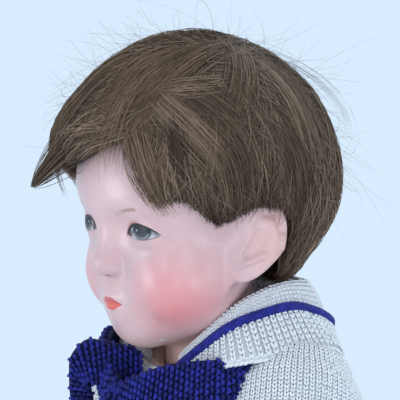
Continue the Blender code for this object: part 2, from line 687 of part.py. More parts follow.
def sole_outline(level, grow):
    angles = full_turn(20)
    heel, toe = 0.0150 + grow, -0.0470 - grow
    y = 0.5 * (heel + toe) + 0.5 * (heel - toe) * np.sign(np.sin(angles)) * np.abs(np.sin(angles)) ** 0.8
    broad = np.interp(-y, (-heel, 0.0, 0.030, -toe), (0.0125, 0.0130, 0.0146, 0.0130)) + grow
    x = LEG_OUT + broad * np.sign(np.cos(angles)) * np.abs(np.cos(angles)) ** 0.8
    return np.stack((x, y, np.full(len(x), level)), 1)


def strap_rings(inside, outside):
    """A strip over the instep: each ring is its four-cornered section at one angle round the foot."""
    angles = np.radians(np.linspace(188, 352, 13))
    rows = leg_rows(LEG_STATIONS, True)
    edges = [section_at(rows, STRAP_PLACE + shift) for shift in (-0.5 * STRAP_SPAN, 0.5 * STRAP_SPAN)]
    near_in, far_in = (leg_ring(angles, edge, inside) for edge in edges)
    near_out, far_out = (leg_ring(angles, edge, outside) for edge in edges)
    return [np.array(corners) for corners in zip(near_in, near_out, far_out, far_in)]


def add_leg(label, side):
    place = np.array(HIP_PLACE) + np.array((side * HIP_FLAT, 0.0, 0.0))
    axis = add_empty(f"{label}_hip_axis", place, (math.radians(-90), 0.0, 0.0))
    add_limb(label, side, "leg", axis, HIP_FLAT, 0.0, lambda inset: leg_rings(-inset))
    shorts_outer = leg_rings(0.0, stations=SHORTS_STATIONS, foot=False, sides=14)
    shorts_inner = leg_rings(-CLOTH, stations=SHORTS_STATIONS, foot=False, sides=14)
    opening = 2 * SKIN_GAP
    add_garment_tube(f"{label}_shorts_leg", "navy_cloth", axis, side, shorts_outer, shorts_inner, opening)

    sock_in, sock_out = SKIN_GAP, SKIN_GAP + CLOTH
    shoe_in, shoe_out = sock_out + SHOE_GAP, sock_out + SHOE_GAP + SHOE_WALL
    for name, finish, low, high, top in (("sock", "sock", sock_in, sock_out, SOCK_TOP),
                                         ("shoe_upper", "leather", shoe_in, shoe_out, SHOE_TOP)):
        skin = bmesh.new()
        outer, inner = leg_rings(high, top), leg_rings(low, top)
        add_shell(skin, mirror(outer, side)[::-1], mirror(inner, side)[::-1])
        add_object(f"{label}_{name}", skin, finish, axis)

    sole_top = -FOOT_BOTTOM - shoe_out - SKIN_GAP
    sole = [sole_outline(level, shoe_out + SOLE_MARGIN) for level in (sole_top, sole_top - SOLE_THICK)]
    ring_solid(f"{label}_shoe_sole", mirror(sole, side), "sole", axis)
    strap_in, strap_out = shoe_out + SKIN_GAP, shoe_out + SKIN_GAP + SHOE_WALL
    ring_solid(f"{label}_shoe_strap", mirror(strap_rings(strap_in, strap_out), side), "leather", axis)
    start = LEG_OUT + FOOT_STATIONS[1][4] + strap_out + SKIN_GAP
    profile = ((start, BUTTON_RADIUS), (start + 0.0012, BUTTON_RADIUS), (start + 0.0020, BUTTON_RADIUS * 0.6))
    middle = section_at(leg_rows(LEG_STATIONS, True), STRAP_PLACE)
    button_place = (0.0, 0.5 * (middle[0] + middle[2]), 0.5 * (middle[1] + middle[3]))
    button = mirror(move(turned(profile, 12), button_place), side)
    ring_solid(f"{label}_shoe_button", button, "button", axis)


def add_shorts_seat():
    """The seat of the shorts: a cup under the body, open at each hip for the leg to turn."""
    angles = full_turn(BODY_SIDES)
    top = WAIST_HEIGHTS[0]
    outer = body_rings(angles, SEAT_GAP + CLOTH, BODY_STATIONS[0][0], top)
    outer[0][:, 2] = 0.0
    inner = body_rings(angles, SEAT_GAP, BODY_STATIONS[0][0], top)
    inner[0][:, 2] = CLOTH
    skin = bmesh.new()
    add_shell(skin, outer, inner)
    seat = add_object("shorts_seat", skin, "navy_cloth")
    under_waist = HIP_HEIGHT + SHORTS_STATIONS[-1][2] + 2 * SKIN_GAP
    side_walls = box_rings((HIP_FLAT + 0.5 * SKIN_GAP, 0.08), (-0.08, 0.08), (-0.01, under_waist))
    cut(seat, add_cutters("shorts_leg_holes", [mirror(side_walls, side) for side in SIDES.values()]))


# Sweater, collar, braid and neckerchief
def add_sweater():
    angles = full_turn(BODY_SIDES)
    outer = body_rings(angles, SWEATER_OUT, HEM_HEIGHT, NECK_EDGE)
    inner = body_rings(angles, SWEATER_GAP, HEM_HEIGHT, NECK_EDGE)
    body = ring_solid("sweater_body", outer + inner[::-1], "wool", loop=True)
    rods = [rod(0.032, 0.062, ARMHOLE_RADIUS, SHOULDER_PLACE, side) for side in SIDES.values()]
    cut(body, add_cutters("sweater_armholes", rods))


def by_angle(angles, table):
    """A height that changes with the angle from the front, the same on both sides."""
    folded = np.abs((angles + math.pi) % (2 * math.pi) - math.pi)
    table = np.array(table, float)
    return NECK_HEIGHT + np.interp(folded, np.radians(table[:, 0]), table[:, 1])


def collar_strip(angle, share, over):
    """A point across the collar: up its stand to the fold, then down the fall to its outer edge."""
    knots = (0.0, 0.25, 1.0)
    heights = (by_angle(angle, COLLAR_TOP), COLLAR_FOLD, by_angle(angle, COLLAR_EDGE))
    height = np.interp(share, knots, heights)
    lift = np.interp(share, knots, (COLLAR_STAND, COLLAR_IN, COLLAR_IN))
    return body_point(np.asarray(angle), height, lift + over)


def add_collar():
    angles = full_turn(BODY_SIDES)[COLLAR_OPEN_SIDES:-COLLAR_OPEN_SIDES]
    shares = (0.0, *np.linspace(0.25, 1.0, 8))
    sections = []
    for angle in angles:
        under = [collar_strip(angle, share, 0.0) for share in shares]
        above = [collar_strip(angle, share, KNIT) for share in shares]
        sections.append(np.array(under + above[::-1]))
    ring_solid("sweater_collar", sections, "wool")
    turn = full_turn(6)
    braid = []
    for angle in angles:
        centre, along, normal = collar_frame(angle, BRAID_SHARE)
        across = np.cross(along, normal)
        middle = centre + normal * (BRAID_RADIUS + 2 * SKIN_GAP)
        spokes = np.outer(np.cos(turn), across) + np.outer(np.sin(turn), normal)
        braid.append(middle + BRAID_RADIUS * spokes)
    ring_solid("collar_braid", braid, "blue_wool")


def collar_frame(angle, share):
    """A place on top of the collar, the direction round the neck there, and the way out of the cloth."""
    step = 0.02
    round_neck = collar_strip(angle + step, share, KNIT) - collar_strip(angle - step, share, KNIT)
    outwards = collar_strip(angle, share + step, KNIT) - collar_strip(angle, share - step, KNIT)
    along = round_neck / np.linalg.norm(round_neck)
    normal = np.cross(outwards, round_neck)
    return collar_strip(angle, share, KNIT), along, normal / np.linalg.norm(normal)


def add_neckerchief():
    sections = []
    for angle in full_turn(BODY_SIDES):
        heights = np.linspace(by_angle(angle, SCARF_LOW), by_angle(angle, SCARF_HIGH), 5)
        inside = [body_point(np.asarray(angle), h, SCARF_IN) for h in heights]
        outside = [body_point(np.asarray(angle), h, SCARF_OUT) for h in heights[::-1]]
        sections.append(np.array(inside + outside))
    ring_solid("scarf_band", sections, "blue_wool", loop=True)

    front = -body_point(np.asarray(0.0), by_angle(0.0, SCARF_LOW), SCARF_OUT)[1] + SKIN_GAP
    half_x, half_y, half_z = KNOT_HALF
    polar = np.linspace(0.15, math.pi - 0.15, 8)
    round_angles = full_turn(14)
    knot = [np.stack((half_x * math.sin(p) * np.cos(round_angles),
                      half_y * math.sin(p) * np.sin(round_angles) - front - half_y,
                      np.full(14, half_z * math.cos(p) + KNOT_HEIGHT)), 1) for p in polar]
    ring_solid("scarf_knot", knot, "blue_wool")
    for label, side in SIDES.items():
        top = KNOT_HEIGHT - half_z - SKIN_GAP
        sections = []
        for share in np.linspace(0.0, 1.0, 6):
            half = 0.5 * (TAIL_WIDTH * (0.55 + 0.45 * share))
            middle = 0.5 * TAIL_WIDTH * (0.55 + 0.45 * share) + SKIN_GAP + 0.006 * share
            z = top - TAIL_LENGTH * share
            corners = [(middle - half, -front), (middle + half, -front),
                       (middle + half, -front - SCARF_THICK), (middle - half, -front - SCARF_THICK)]
            sections.append(np.array([(side * x, y, z) for x, y in corners]))
        ring_solid(f"scarf_{label}_end", sections, "blue_wool")


def build():
    for made in list(bpy.data.objects):
        bpy.data.objects.remove(made, do_unlink=True)
    add_torso()
    add_head()
    for label, side in SIDES.items():
        add_arm(label, side)
        add_leg(label, side)
    add_shorts_seat()
    add_sweater()
    add_collar()
    add_neckerchief()


build()
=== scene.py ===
# %% [markdown]
# # A seated cloth doll in a sailor sweater
# The doll has a moulded, painted cloth head with a wig, a stuffed body with five turning joints, a knitted
# sweater with a striped collar, a knitted neckerchief, shorts, socks and strap shoes.
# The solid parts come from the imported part. This file dresses them: each soft part gets a detailed piece of
# its own that moves with the same body. Everything is in metres, the doll faces -Y and its left side is +X.

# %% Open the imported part
import math

import bmesh
import bpy
import numpy as np
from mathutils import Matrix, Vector


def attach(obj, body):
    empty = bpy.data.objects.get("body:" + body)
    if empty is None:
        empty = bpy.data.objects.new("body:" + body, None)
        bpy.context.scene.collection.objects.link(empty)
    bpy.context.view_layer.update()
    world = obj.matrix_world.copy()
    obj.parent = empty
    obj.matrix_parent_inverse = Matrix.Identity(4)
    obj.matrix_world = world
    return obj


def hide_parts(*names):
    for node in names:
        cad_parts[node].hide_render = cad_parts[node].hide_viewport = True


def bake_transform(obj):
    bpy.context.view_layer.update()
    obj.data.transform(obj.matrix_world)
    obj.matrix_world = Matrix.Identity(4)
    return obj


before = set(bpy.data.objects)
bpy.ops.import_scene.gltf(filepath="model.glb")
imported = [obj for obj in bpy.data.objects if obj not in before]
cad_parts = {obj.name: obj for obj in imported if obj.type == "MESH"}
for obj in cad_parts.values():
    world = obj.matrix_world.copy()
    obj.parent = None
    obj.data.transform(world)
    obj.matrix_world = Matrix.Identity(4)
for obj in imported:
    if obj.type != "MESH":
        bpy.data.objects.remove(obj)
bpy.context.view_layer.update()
scene = bpy.context.scene
scene.view_settings.view_transform = "Standard"

# %% [markdown]
# ## Camera and studio
# The photograph looks at the doll's left cheek from a little above eye level, through a long lens.
# A camera can be placed by eye, but the pixels of the eyes, nose and ears give its angle and scale, so the
# camera is worked out from those numbers. One pixel is 0.46 mm at the head.

# %% Camera
HEAD_ORIGIN = np.array((0.0, -0.012, 0.225))     # between the eyes
VIEW_AZIMUTH = math.radians(56)
VIEW_ELEVATION = math.radians(6)
VIEW_DISTANCE = 0.9
METRES_PER_PIXEL = 0.00046
FRAME_PIXELS = 400
HEAD_PIXEL = (193.0, 223.5)
SENSOR = 36.0


def bearing(azimuth, elevation):
    """Unit vector from the doll towards a place round it. Azimuth 0 is in front, 90 degrees is its left."""
    level = math.cos(elevation)
    return np.array((math.sin(azimuth) * level, -math.cos(azimuth) * level, math.sin(elevation)))


def aim_at(made, place, target):
    made.location = place
    made.rotation_euler = Vector(target - place).to_track_quat("-Z", "Y").to_euler()


towards_camera = bearing(VIEW_AZIMUTH, VIEW_ELEVATION)
picture_right = np.array((math.cos(VIEW_AZIMUTH), math.sin(VIEW_AZIMUTH), 0.0))
picture_up = np.cross(towards_camera, picture_right)
middle = FRAME_PIXELS / 2
view_centre = (HEAD_ORIGIN + picture_right * (middle - HEAD_PIXEL[0]) * METRES_PER_PIXEL
               + picture_up * (HEAD_PIXEL[1] - middle) * METRES_PER_PIXEL)
lens = bpy.data.cameras.new("camera")
lens.sensor_width = SENSOR
lens.lens = SENSOR * VIEW_DISTANCE / (FRAME_PIXELS * METRES_PER_PIXEL)
camera = bpy.data.objects.new("camera", lens)
scene.collection.objects.link(camera)
aim_at(camera, view_centre + towards_camera * VIEW_DISTANCE, view_centre)
scene.camera = camera
print("camera lens", round(lens.lens), "mm")

# %% [markdown]
# ## Shader arithmetic
# A painted face is a drawing made of sums: an ellipse for the iris, a curve for the eyelid, soft spots for
# the blush. Wiring hundreds of Math nodes by hand is slow, so one small class wraps a socket and lets
# ordinary Python arithmetic add the nodes. Every other node comes from one method of the finish.

# %% Sockets as values
class Value:
    """A number or vector socket of a finish, used in ordinary arithmetic."""

    def __init__(self, finish, socket):
        self.finish = finish
        self.socket = socket

    def math(self, operation, *others):
        inputs = dict(enumerate((self, *others)))
        return self.finish.add("ShaderNodeMath", {"operation": operation}, inputs)

    def __add__(self, other):
        return self.math("ADD", other)

    def __sub__(self, other):
        return self.math("SUBTRACT", other)

    def __mul__(self, other):
        return self.math("MULTIPLY", other)

    def __truediv__(self, other):
        return self.math("DIVIDE", other)

    def __rsub__(self, other):
        return self * -1.0 + other

    def __pow__(self, power):
        return self.math("POWER", power)

    def __abs__(self):
        return self.math("ABSOLUTE")

    __radd__ = __add__
    __rmul__ = __mul__

    def most(self, other):
        return self.math("MAXIMUM", other)

    def sine(self):
        return self.math("SINE")

    def ease(self, start, end):
        """0 before start, 1 after end, smooth between. Start may be the larger one."""
        inputs = {"Value": self, "From Min": start, "From Max": end}
        return self.finish.add("ShaderNodeMapRange", {"interpolation_type": "SMOOTHSTEP"}, inputs)


class Finish:
    """A procedural material under construction."""

    def __init__(self, name, **constants):
        self.material = bpy.data.materials.new(name)
        self.material.use_nodes = True
        self.tree = self.material.node_tree
        self.shader = self.tree.nodes["Principled BSDF"]
        for socket, value in constants.items():
            self.set(socket.replace("_", " "), value)

    def feed(self, socket, value):
        if isinstance(value, Value):
            self.tree.links.new(value.socket, socket)
        elif isinstance(value, tuple) and socket.type == "RGBA":
            socket.default_value = (*value, 1.0)
        else:
            socket.default_value = value

    def add(self, kind, settings=None, inputs=None, output=0):
        """A node of this kind with its settings, then the values or links of its sockets."""
        node = self.tree.nodes.new(kind)
        for key, value in (settings or {}).items():
            if key == "stops":
                self.set_stops(node.color_ramp, value)
            else:
                setattr(node, key, value)
        for key, value in (inputs or {}).items():
            self.feed(node.inputs[key], value)
        return Value(self, node.outputs[output])

    @staticmethod
    def set_stops(ramp, stops):
        while len(ramp.elements) < len(stops):
            ramp.elements.new(1.0)
        for element, (place, colour) in zip(ramp.elements, stops):
            element.position = place
            element.color = (*colour, 1.0)

    def set(self, socket, value):
        self.feed(self.shader.inputs[socket], value)

    def mix(self, share, first, second):
        """Goes from the first colour to the second as share goes from 0 to 1."""
        return self.add("ShaderNodeMix", {"data_type": "RGBA"}, {0: share, 6: first, 7: second}, 2)

    def ramp(self, share, stops):
        return self.add("ShaderNodeValToRGB", {"stops": stops}, {"Fac": share})

    def place(self, origin=(0.0, 0.0, 0.0), scale=1.0):
        """Object coordinates from an origin, multiplied by a scale."""
        spot = self.add("ShaderNodeTexCoord", output="Object")
        moved = self.add("ShaderNodeVectorMath", {"operation": "SUBTRACT"}, {0: spot, 1: tuple(origin)})
        return self.add("ShaderNodeVectorMath", {"operation": "SCALE"}, {0: moved, "Scale": scale})

    def axes(self, vector):
        return [self.add("ShaderNodeSeparateXYZ", None, {0: vector}, k) for k in range(3)]

    def noise(self, vector, scale, detail=2.0, roughness=0.5):
        inputs = {"Vector": vector, "Scale": scale, "Detail": detail, "Roughness": roughness}
        return self.add("ShaderNodeTexNoise", None, inputs)

    def attribute(self, name):
        return self.add("ShaderNodeAttribute", {"attribute_name": name}, None, "Fac")

    def bump(self, height, distance, strength=1.0):
        inputs = {"Height": height, "Distance": distance, "Strength": strength}
        self.set("Normal", self.add("ShaderNodeBump", None, inputs))


print("shader helpers ready")

# %% [markdown]
# ## Floor, light and background
# The real doll stood in a light tent, in a pale blue-white surround. Here a soft box in front of the face and
# one at brow height give the highlights of the cheek and the forehead, and four more fill in from above the
# camera, from low in front, at the temple and from behind. Painted highlights would be simpler, but they
# would not move when the doll turns. Camera rays and reflections see the pale surround, all else its dimmer
# light.

# %% Floor and background
SURROUND = (0.69, 0.84, 1.0)
FLOOR_RADIUS, FLOOR_SIDES, FLOOR_LEVEL = 0.58, 64, -0.0002
TENT_STRENGTH = 0.88
TURN = 2 * math.pi


def full_turn(count):
    """Evenly spaced angles once round."""
    return np.linspace(0.0, TURN, count, endpoint=False)


def link_mesh(name, points, faces, finish, smooth=True):
    """A named object from lists of points and faces, at the origin."""
    mesh = bpy.data.meshes.new(name)
    mesh.from_pydata([tuple(p) for p in points], [], [tuple(int(i) for i in f) for f in faces])
    mesh.validate()
    mesh.materials.append(finish.material)
    if smooth:
        mesh.shade_smooth()
    made = bpy.data.objects.new(name, mesh)
    scene.collection.objects.link(made)
    return made


def make_floor():
    paper = Finish("pale_paper", Roughness=0.9)
    grain = paper.noise(paper.place(), 30.0)
    paper.set("Base Color", paper.mix(grain, (0.74, 0.82, 0.90), (0.80, 0.87, 0.93)))
    turn = full_turn(FLOOR_SIDES)
    level = np.full(FLOOR_SIDES, FLOOR_LEVEL)
    rim = np.stack((FLOOR_RADIUS * np.cos(turn), FLOOR_RADIUS * np.sin(turn), level), 1)
    link_mesh("floor", rim, [range(FLOOR_SIDES)], paper, smooth=False)


def light_surround(strength):
    world = bpy.data.worlds.new("surround")
    scene.world = world
    world.use_nodes = True
    nodes, links = world.node_tree.nodes, world.node_tree.links
    output = nodes["World Output"]
    lit, seen = nodes["Background"], nodes.new("ShaderNodeBackground")
    lit.inputs["Color"].default_value = (0.80, 0.91, 1.0, 1.0)
    lit.inputs["Strength"].default_value = strength
    seen.inputs["Color"].default_value = (*SURROUND, 1.0)
    path = nodes.new("ShaderNodeLightPath")
    largest = path.outputs["Is Camera Ray"]
    for ray in ("Is Glossy Ray", "Is Transmission Ray"):
        either = nodes.new("ShaderNodeMath")
        either.operation = "MAXIMUM"
        links.new(largest, either.inputs[0])
        links.new(path.outputs[ray], either.inputs[1])
        largest = either.outputs[0]
    choose = nodes.new("ShaderNodeMixShader")
    links.new(largest, choose.inputs[0])
    links.new(lit.outputs[0], choose.inputs[1])
    links.new(seen.outputs[0], choose.inputs[2])
    links.new(choose.outputs[0], output.inputs["Surface"])


make_floor()
light_surround(TENT_STRENGTH)
print("floor radius", FLOOR_RADIUS)

# %% Soft boxes
SOFT_BOXES = {   # azimuth, elevation, distance, size, watts
    "camera_box": (72, 30, 1.30, 0.80, 1.8),
    "low_box": (52, -9, 0.90, 0.40, 0.45),
    "temple_box": (89, -9, 1.10, 0.50, 1.6),
    "brow_box": (20, 16, 1.00, 0.24, 0.5),
    "cheek_box": (-16, -8, 0.70, 0.30, 1.0),
    "back_box": (200, 45, 1.30, 0.90, 3.0),
}
for name, (azimuth, elevation, distance, size, watts) in SOFT_BOXES.items():
    lamp = bpy.data.lights.new(name, "AREA")
    lamp.shape = "DISK"
    lamp.size = size
    lamp.energy = watts
    lamp.color = (0.88, 0.95, 1.0)
    box = bpy.data.objects.new(name, lamp)
    scene.collection.objects.link(box)
    towards = bearing(math.radians(azimuth), math.radians(elevation))
    aim_at(box, HEAD_ORIGIN + towards * distance, HEAD_ORIGIN)
print(len(SOFT_BOXES), "soft boxes")

# %% [markdown]
# ## The moulded head
# The real head is cloth pressed over a mould and stiffened with paint, so it is one smooth form with a nose,
# lips, eyelids and ears raised out of it. Sculpting it by hand would be hard to repeat. Here it is a sum of
# distance fields: ellipsoids melted together, the eye sockets melted away, then rays from the middle of the
# head find the surface. The numbers are those of the solid part, with finer ears.

# %% Distance fields of the head
FACE_FORMS = (((0, -0.015, 0.020), (0.041, 0.037, 0.034), 0.014),
              ((0, -0.0105, -0.018), (0.039, 0.0315, 0.0348), 0.014),
              ((0.0205, -0.0228, -0.0212), (0.020, 0.0186, 0.0195), 0.010),
              ((0, -0.0272, -0.0425), (0.016, 0.013, 0.012), 0.010),
              ((0, -0.0340, -0.030), (0.015, 0.010, 0.012), 0.007))
FEATURE_FORMS = (((0, -0.0476, -0.0155), (0.0052, 0.0050, 0.0047), 0.0035),
                 ((0.0044, -0.0450, -0.0168), (0.0032, 0.0038, 0.0030), 0.0035),
                 ((0, -0.0424, -0.0298), (0.0072, 0.0034, 0.0025), 0.0025),
                 ((0, -0.0416, -0.0342), (0.0056, 0.0034, 0.0026), 0.0020))
CRANIUM = ((0, 0.006, 0.026), (0.048, 0.056, 0.053))
EYE_SOCKET = ((0.0195, -0.053, 0.001), (0.013, 0.009, 0.008))
EYEBALL = ((0.0205, -0.033, 0.0002), (0.012, 0.0097, 0.0082))
NOSE_BRIDGE = ((0, -0.0425, 0.002), (0, -0.0475, -0.013), 0.0042, 0.0050)
NECK = ((0, 0.010, -0.040), (0, 0.010, -0.120), 0.021, 0.021)
NECK_END = 0.1584 - HEAD_ORIGIN[2]
SOCKET_MELT, EYEBALL_MELT, BRIDGE_MELT, NECK_MELT = 0.007, 0.004, 0.006, 0.008
EAR_PLACE = (0.0452, 0.0070, -0.0050)
EAR_HALF = (0.0040, 0.0098, 0.0190)
EAR_LEAN, EAR_FLARE = math.radians(17), math.radians(24)
EAR_RELIEF = (   # start and end of a ridge or groove as (back, up), its half width and its height
    ((0.0030, -0.0050), (-0.0055, -0.0125), 0.0015, 0.0011),
    ((0.0040, -0.0085), (-0.0050, -0.0158), 0.0014, -0.0008),
    ((-0.0042, 0.0040), (-0.0058, -0.0070), 0.0012, -0.0011),
    ((-0.0010, 0.0040), (-0.0030, -0.0060), 0.0030, -0.0010),
    ((-0.0050, 0.0125), (0.0020, 0.0135), 0.0016, -0.0012),
    ((0.0020, 0.0135), (0.0066, 0.0070), 0.0016, -0.0012),
    ((0.0066, 0.0070), (0.0072, -0.0010), 0.0014, -0.0006))
EAR_ROLL, EAR_DEPTH = 0.0016, 1.4        # height of the rolled rim, and how strongly the relief shows
HEAD_CORE = np.array((0.0, -0.002, -0.004))


def ellipsoid(points, centre, radii):
    offset = points - np.array(centre)
    near = np.linalg.norm(offset / np.array(radii), axis=-1)
    slope = np.linalg.norm(offset / np.array(radii) ** 2, axis=-1)
    return near * (near - 1.0) / np.maximum(slope, 1e-9)


def capsule(points, start, end, start_radius, end_radius):
    start, end = np.array(start), np.array(end)
    run = end - start
    t = np.clip((points - start) @ run / (run @ run), 0.0, 1.0)
    spine = start + t[..., None] * run
    return np.linalg.norm(points - spine, axis=-1) - (start_radius + (end_radius - start_radius) * t)


def join(first, second, blend):
    h = np.clip(0.5 + 0.5 * (second - first) / blend, 0.0, 1.0)
    return second + (first - second) * h - blend * h * (1.0 - h)


def skull_distance(points):
    """The head without its ears, the same on both sides."""
    folded = points.copy()
    folded[..., 0] = np.abs(folded[..., 0])
    d = ellipsoid(folded, *CRANIUM)
    for centre, radii, blend in FACE_FORMS:
        d = join(d, ellipsoid(folded, centre, radii), blend)
    d = -join(-d, ellipsoid(folded, *EYE_SOCKET), SOCKET_MELT)
    d = join(d, ellipsoid(folded, *EYEBALL), EYEBALL_MELT)
    d = join(d, capsule(folded, *NOSE_BRIDGE), BRIDGE_MELT)
    for centre, radii, blend in FEATURE_FORMS:
        d = join(d, ellipsoid(folded, centre, radii), blend)
    return join(d, capsule(folded, *NECK), NECK_MELT)


def near_line(back, up, start, end, width):
    """One on a line across the ear, falling softly to nothing beside it."""
    run = np.subtract(end, start)
    t = np.clip(((back - start[0]) * run[0] + (up - start[1]) * run[1]) / (run @ run), 0.0, 1.0)
    away = np.hypot(back - start[0] - t * run[0], up - start[1] - t * run[1])
    return np.exp(-(away / width) ** 2)


def ear_distance(points):
    """A leaning leaf that narrows to the lobe, with a rolled rim, ridges and grooves."""
    q = np.abs(points * np.array((1, 0, 0))) + points * np.array((0, 1, 1)) - np.array(EAR_PLACE)
    up = q[..., 2] * math.cos(EAR_LEAN) + q[..., 1] * math.sin(EAR_LEAN)
    across = q[..., 1] * math.cos(EAR_LEAN) - q[..., 2] * math.sin(EAR_LEAN)
    low = np.clip(-up / EAR_HALF[2], 0.0, 1.2)
    across = (across + 0.0062 * low) / (1.0 - 0.26 * low)
    out = q[..., 0] * math.cos(EAR_FLARE) - across * math.sin(EAR_FLARE)
    back = q[..., 0] * math.sin(EAR_FLARE) + across * math.cos(EAR_FLARE)
    d = ellipsoid(np.stack((out, back, up), -1), (0, 0, 0), EAR_HALF)
    back_share, up_share = back / EAR_HALF[1], up / EAR_HALF[2]
    rim = np.exp(-((np.hypot(back_share, up_share) - 0.90) / 0.11) ** 2)
    d = d - EAR_ROLL * rim * np.clip(0.8 + back_share + up_share, 0.0, 1.0)
    for start, end, width, height in EAR_RELIEF:
        d = d - EAR_DEPTH * height * near_line(back, up, start, end, width)
    return d


def head_distance(points):
    """The whole head. The front of each ear melts into the cheek and its back edge stands clear."""
    front = np.clip((0.012 - points[..., 1]) / 0.014, 0.0, 1.0)
    return join(skull_distance(points), ear_distance(points), 0.0030 + 0.0060 * front)


def trace(directions, distance, start=0.13, steps=70):
    """Where rays from the head's core leave a surface, found from outside inwards."""
    reach = np.full(directions.shape[:-1], start)
    for _ in range(steps):
        reach = reach - 0.75 * distance(HEAD_CORE + directions * reach[..., None])
    return HEAD_CORE + directions * reach[..., None]


def fan(angles, polar):
    """Unit vectors at these angles from the front towards the doll's left, and polar angles from the top."""
    return np.stack((np.sin(polar) * np.sin(angles), -np.sin(polar) * np.cos(angles), np.cos(polar)), -1)


print("head fields ready")

# %% Head mesh
EAR_ANGLE = math.radians(104)
HEAD_ROWS, HEAD_COLUMNS = 190, 288


def crowded(count, centres, spread, gain):
    """Angles round the head, closer together at the given centres."""
    fine = np.linspace(-math.pi, math.pi, 4001)
    density = np.ones_like(fine)
    for centre in centres:
        density += gain * np.exp(-((fine - centre) / spread) ** 2)
    total = np.concatenate(([0.0], np.cumsum(0.5 * (density[1:] + density[:-1]))))
    return np.interp(np.arange(count) / count * total[-1], total, fine)


def grid_faces(rows, columns):
    """Faces of a round grid, rows first, with a fan from its first row to the point after the grid."""
    faces = []
    for r in range(rows - 1):
        for c in range(columns):
            d = (c + 1) % columns
            faces.append((r * columns + c, (r + 1) * columns + c, (r + 1) * columns + d, r * columns + d))
    return faces + [(rows * columns, c, (c + 1) % columns) for c in range(columns)]


def neck_polar(angles, level):
    """Polar angle at which a ray from the core meets the neck's wall at a level."""
    ahead = np.stack((np.sin(angles), -np.cos(angles)), -1)
    offset = HEAD_CORE[:2] - np.array(NECK[0][:2])
    along = ahead @ offset
    reach = -along + np.sqrt(along**2 - offset @ offset + NECK[2] ** 2)
    return np.pi - np.arctan2(reach, HEAD_CORE[2] - level)


def head_grid(rows, columns):
    """Points of the painted head, row by row from under the crown to the end of the neck, and the crown."""
    angles = crowded(columns, (0.0, EAR_ANGLE, -EAR_ANGLE), 0.42, 1.6)
    last = neck_polar(angles, NECK_END)
    share = (np.arange(rows) + 1.0) / rows
    polar = share[:, None] * last[None, :]
    points = trace(fan(np.broadcast_to(angles, polar.shape), polar), head_distance)
    points[-1, :, 2] = NECK_END
    crown = trace(np.array(((0.0, 0.0, 1.0),)), head_distance)
    return np.concatenate((points.reshape(-1, 3), crown)) + HEAD_ORIGIN


head_points = head_grid(HEAD_ROWS, HEAD_COLUMNS)
print("head surface", head_points.shape[0], "points")

# %% [markdown]
# ## The painted face
# The face is oil paint on primed cloth: a pink skin, a strong airbrushed blush, grey-blue eyes under a dark
# lid line, faint brows and two red lips, under a satin varnish with a few worn spots.
# It could be an image, but a picture would blur close up. As sums of ovals and curves in millimetres from
# the point between the eyes, the drawing stays sharp at any size. Both sides share it, so x is folded.

# %% Paint helpers
MILLIMETRES = 1000.0


def square(value):
    return value * value


def oval(x, z, middle, half):
    """0 in the middle of an oval, 1 on its rim."""
    return (square((x - middle[0]) / half[0]) + square((z - middle[1]) / half[1])) ** 0.5


def ball(axes, middle, half):
    """0 in the middle of an ellipsoid, 1 on its surface."""
    parts = [square((axis - m) / h) for axis, m, h in zip(axes, middle, half)]
    return (parts[0] + parts[1] + parts[2]) ** 0.5


def curve(x, knots, degree):
    """A smooth curve over x through or near some knots."""
    places, heights = zip(*knots)
    result = None
    for factor in np.polyfit(places, heights, degree):
        result = float(factor) if result is None else x * result + float(factor)
    return result


def band(x, z, knots, degree, half, ends):
    """A line of some half width along a curve, faded at both ends."""
    line = abs(z - curve(x, knots, degree)).ease(half, half * 0.35)
    return line * x.ease(ends[0], ends[0] + 1.5) * x.ease(ends[1], ends[1] - 1.5)


print("paint helpers ready")

# %% Eyes, brows and lips
LID_TOP = ((13.4, 0.0), (14.5, 2.0), (15.7, 3.1), (18.4, 4.2), (22.1, 4.7), (25.1, 4.3), (27.6, 3.2),
           (30.0, 1.7), (32.0, -0.1))
LID_LOW = ((13.4, -0.9), (17.0, -1.8), (20.2, -2.2), (25.5, -2.1), (27.8, -1.6), (29.6, -0.6), (32.0, 0.0))
LASH = ((13.5, 1.9), (18.0, 1.6), (24.0, 1.15), (29.0, 0.75), (32.0, 0.5))      # thickness of the lid line
BROW = ((11.3, 8.1), (14.6, 9.3), (18.0, 10.6), (21.0, 11.2), (23.5, 11.3))
LIP_TOP = ((0.0, -30.4), (1.6, -29.9), (3.2, -30.4), (5.0, -31.2), (8.2, -32.8))
LIP_PART = ((0.0, -32.1), (1.8, -31.9), (4.5, -32.2), (8.2, -32.8))
LIP_LOW = ((0.0, -36.1), (2.5, -35.9), (4.5, -35.1), (5.8, -34.1), (8.2, -32.8))
IRIS, IRIS_HALF = (22.9, 1.2), (5.4, 3.6)


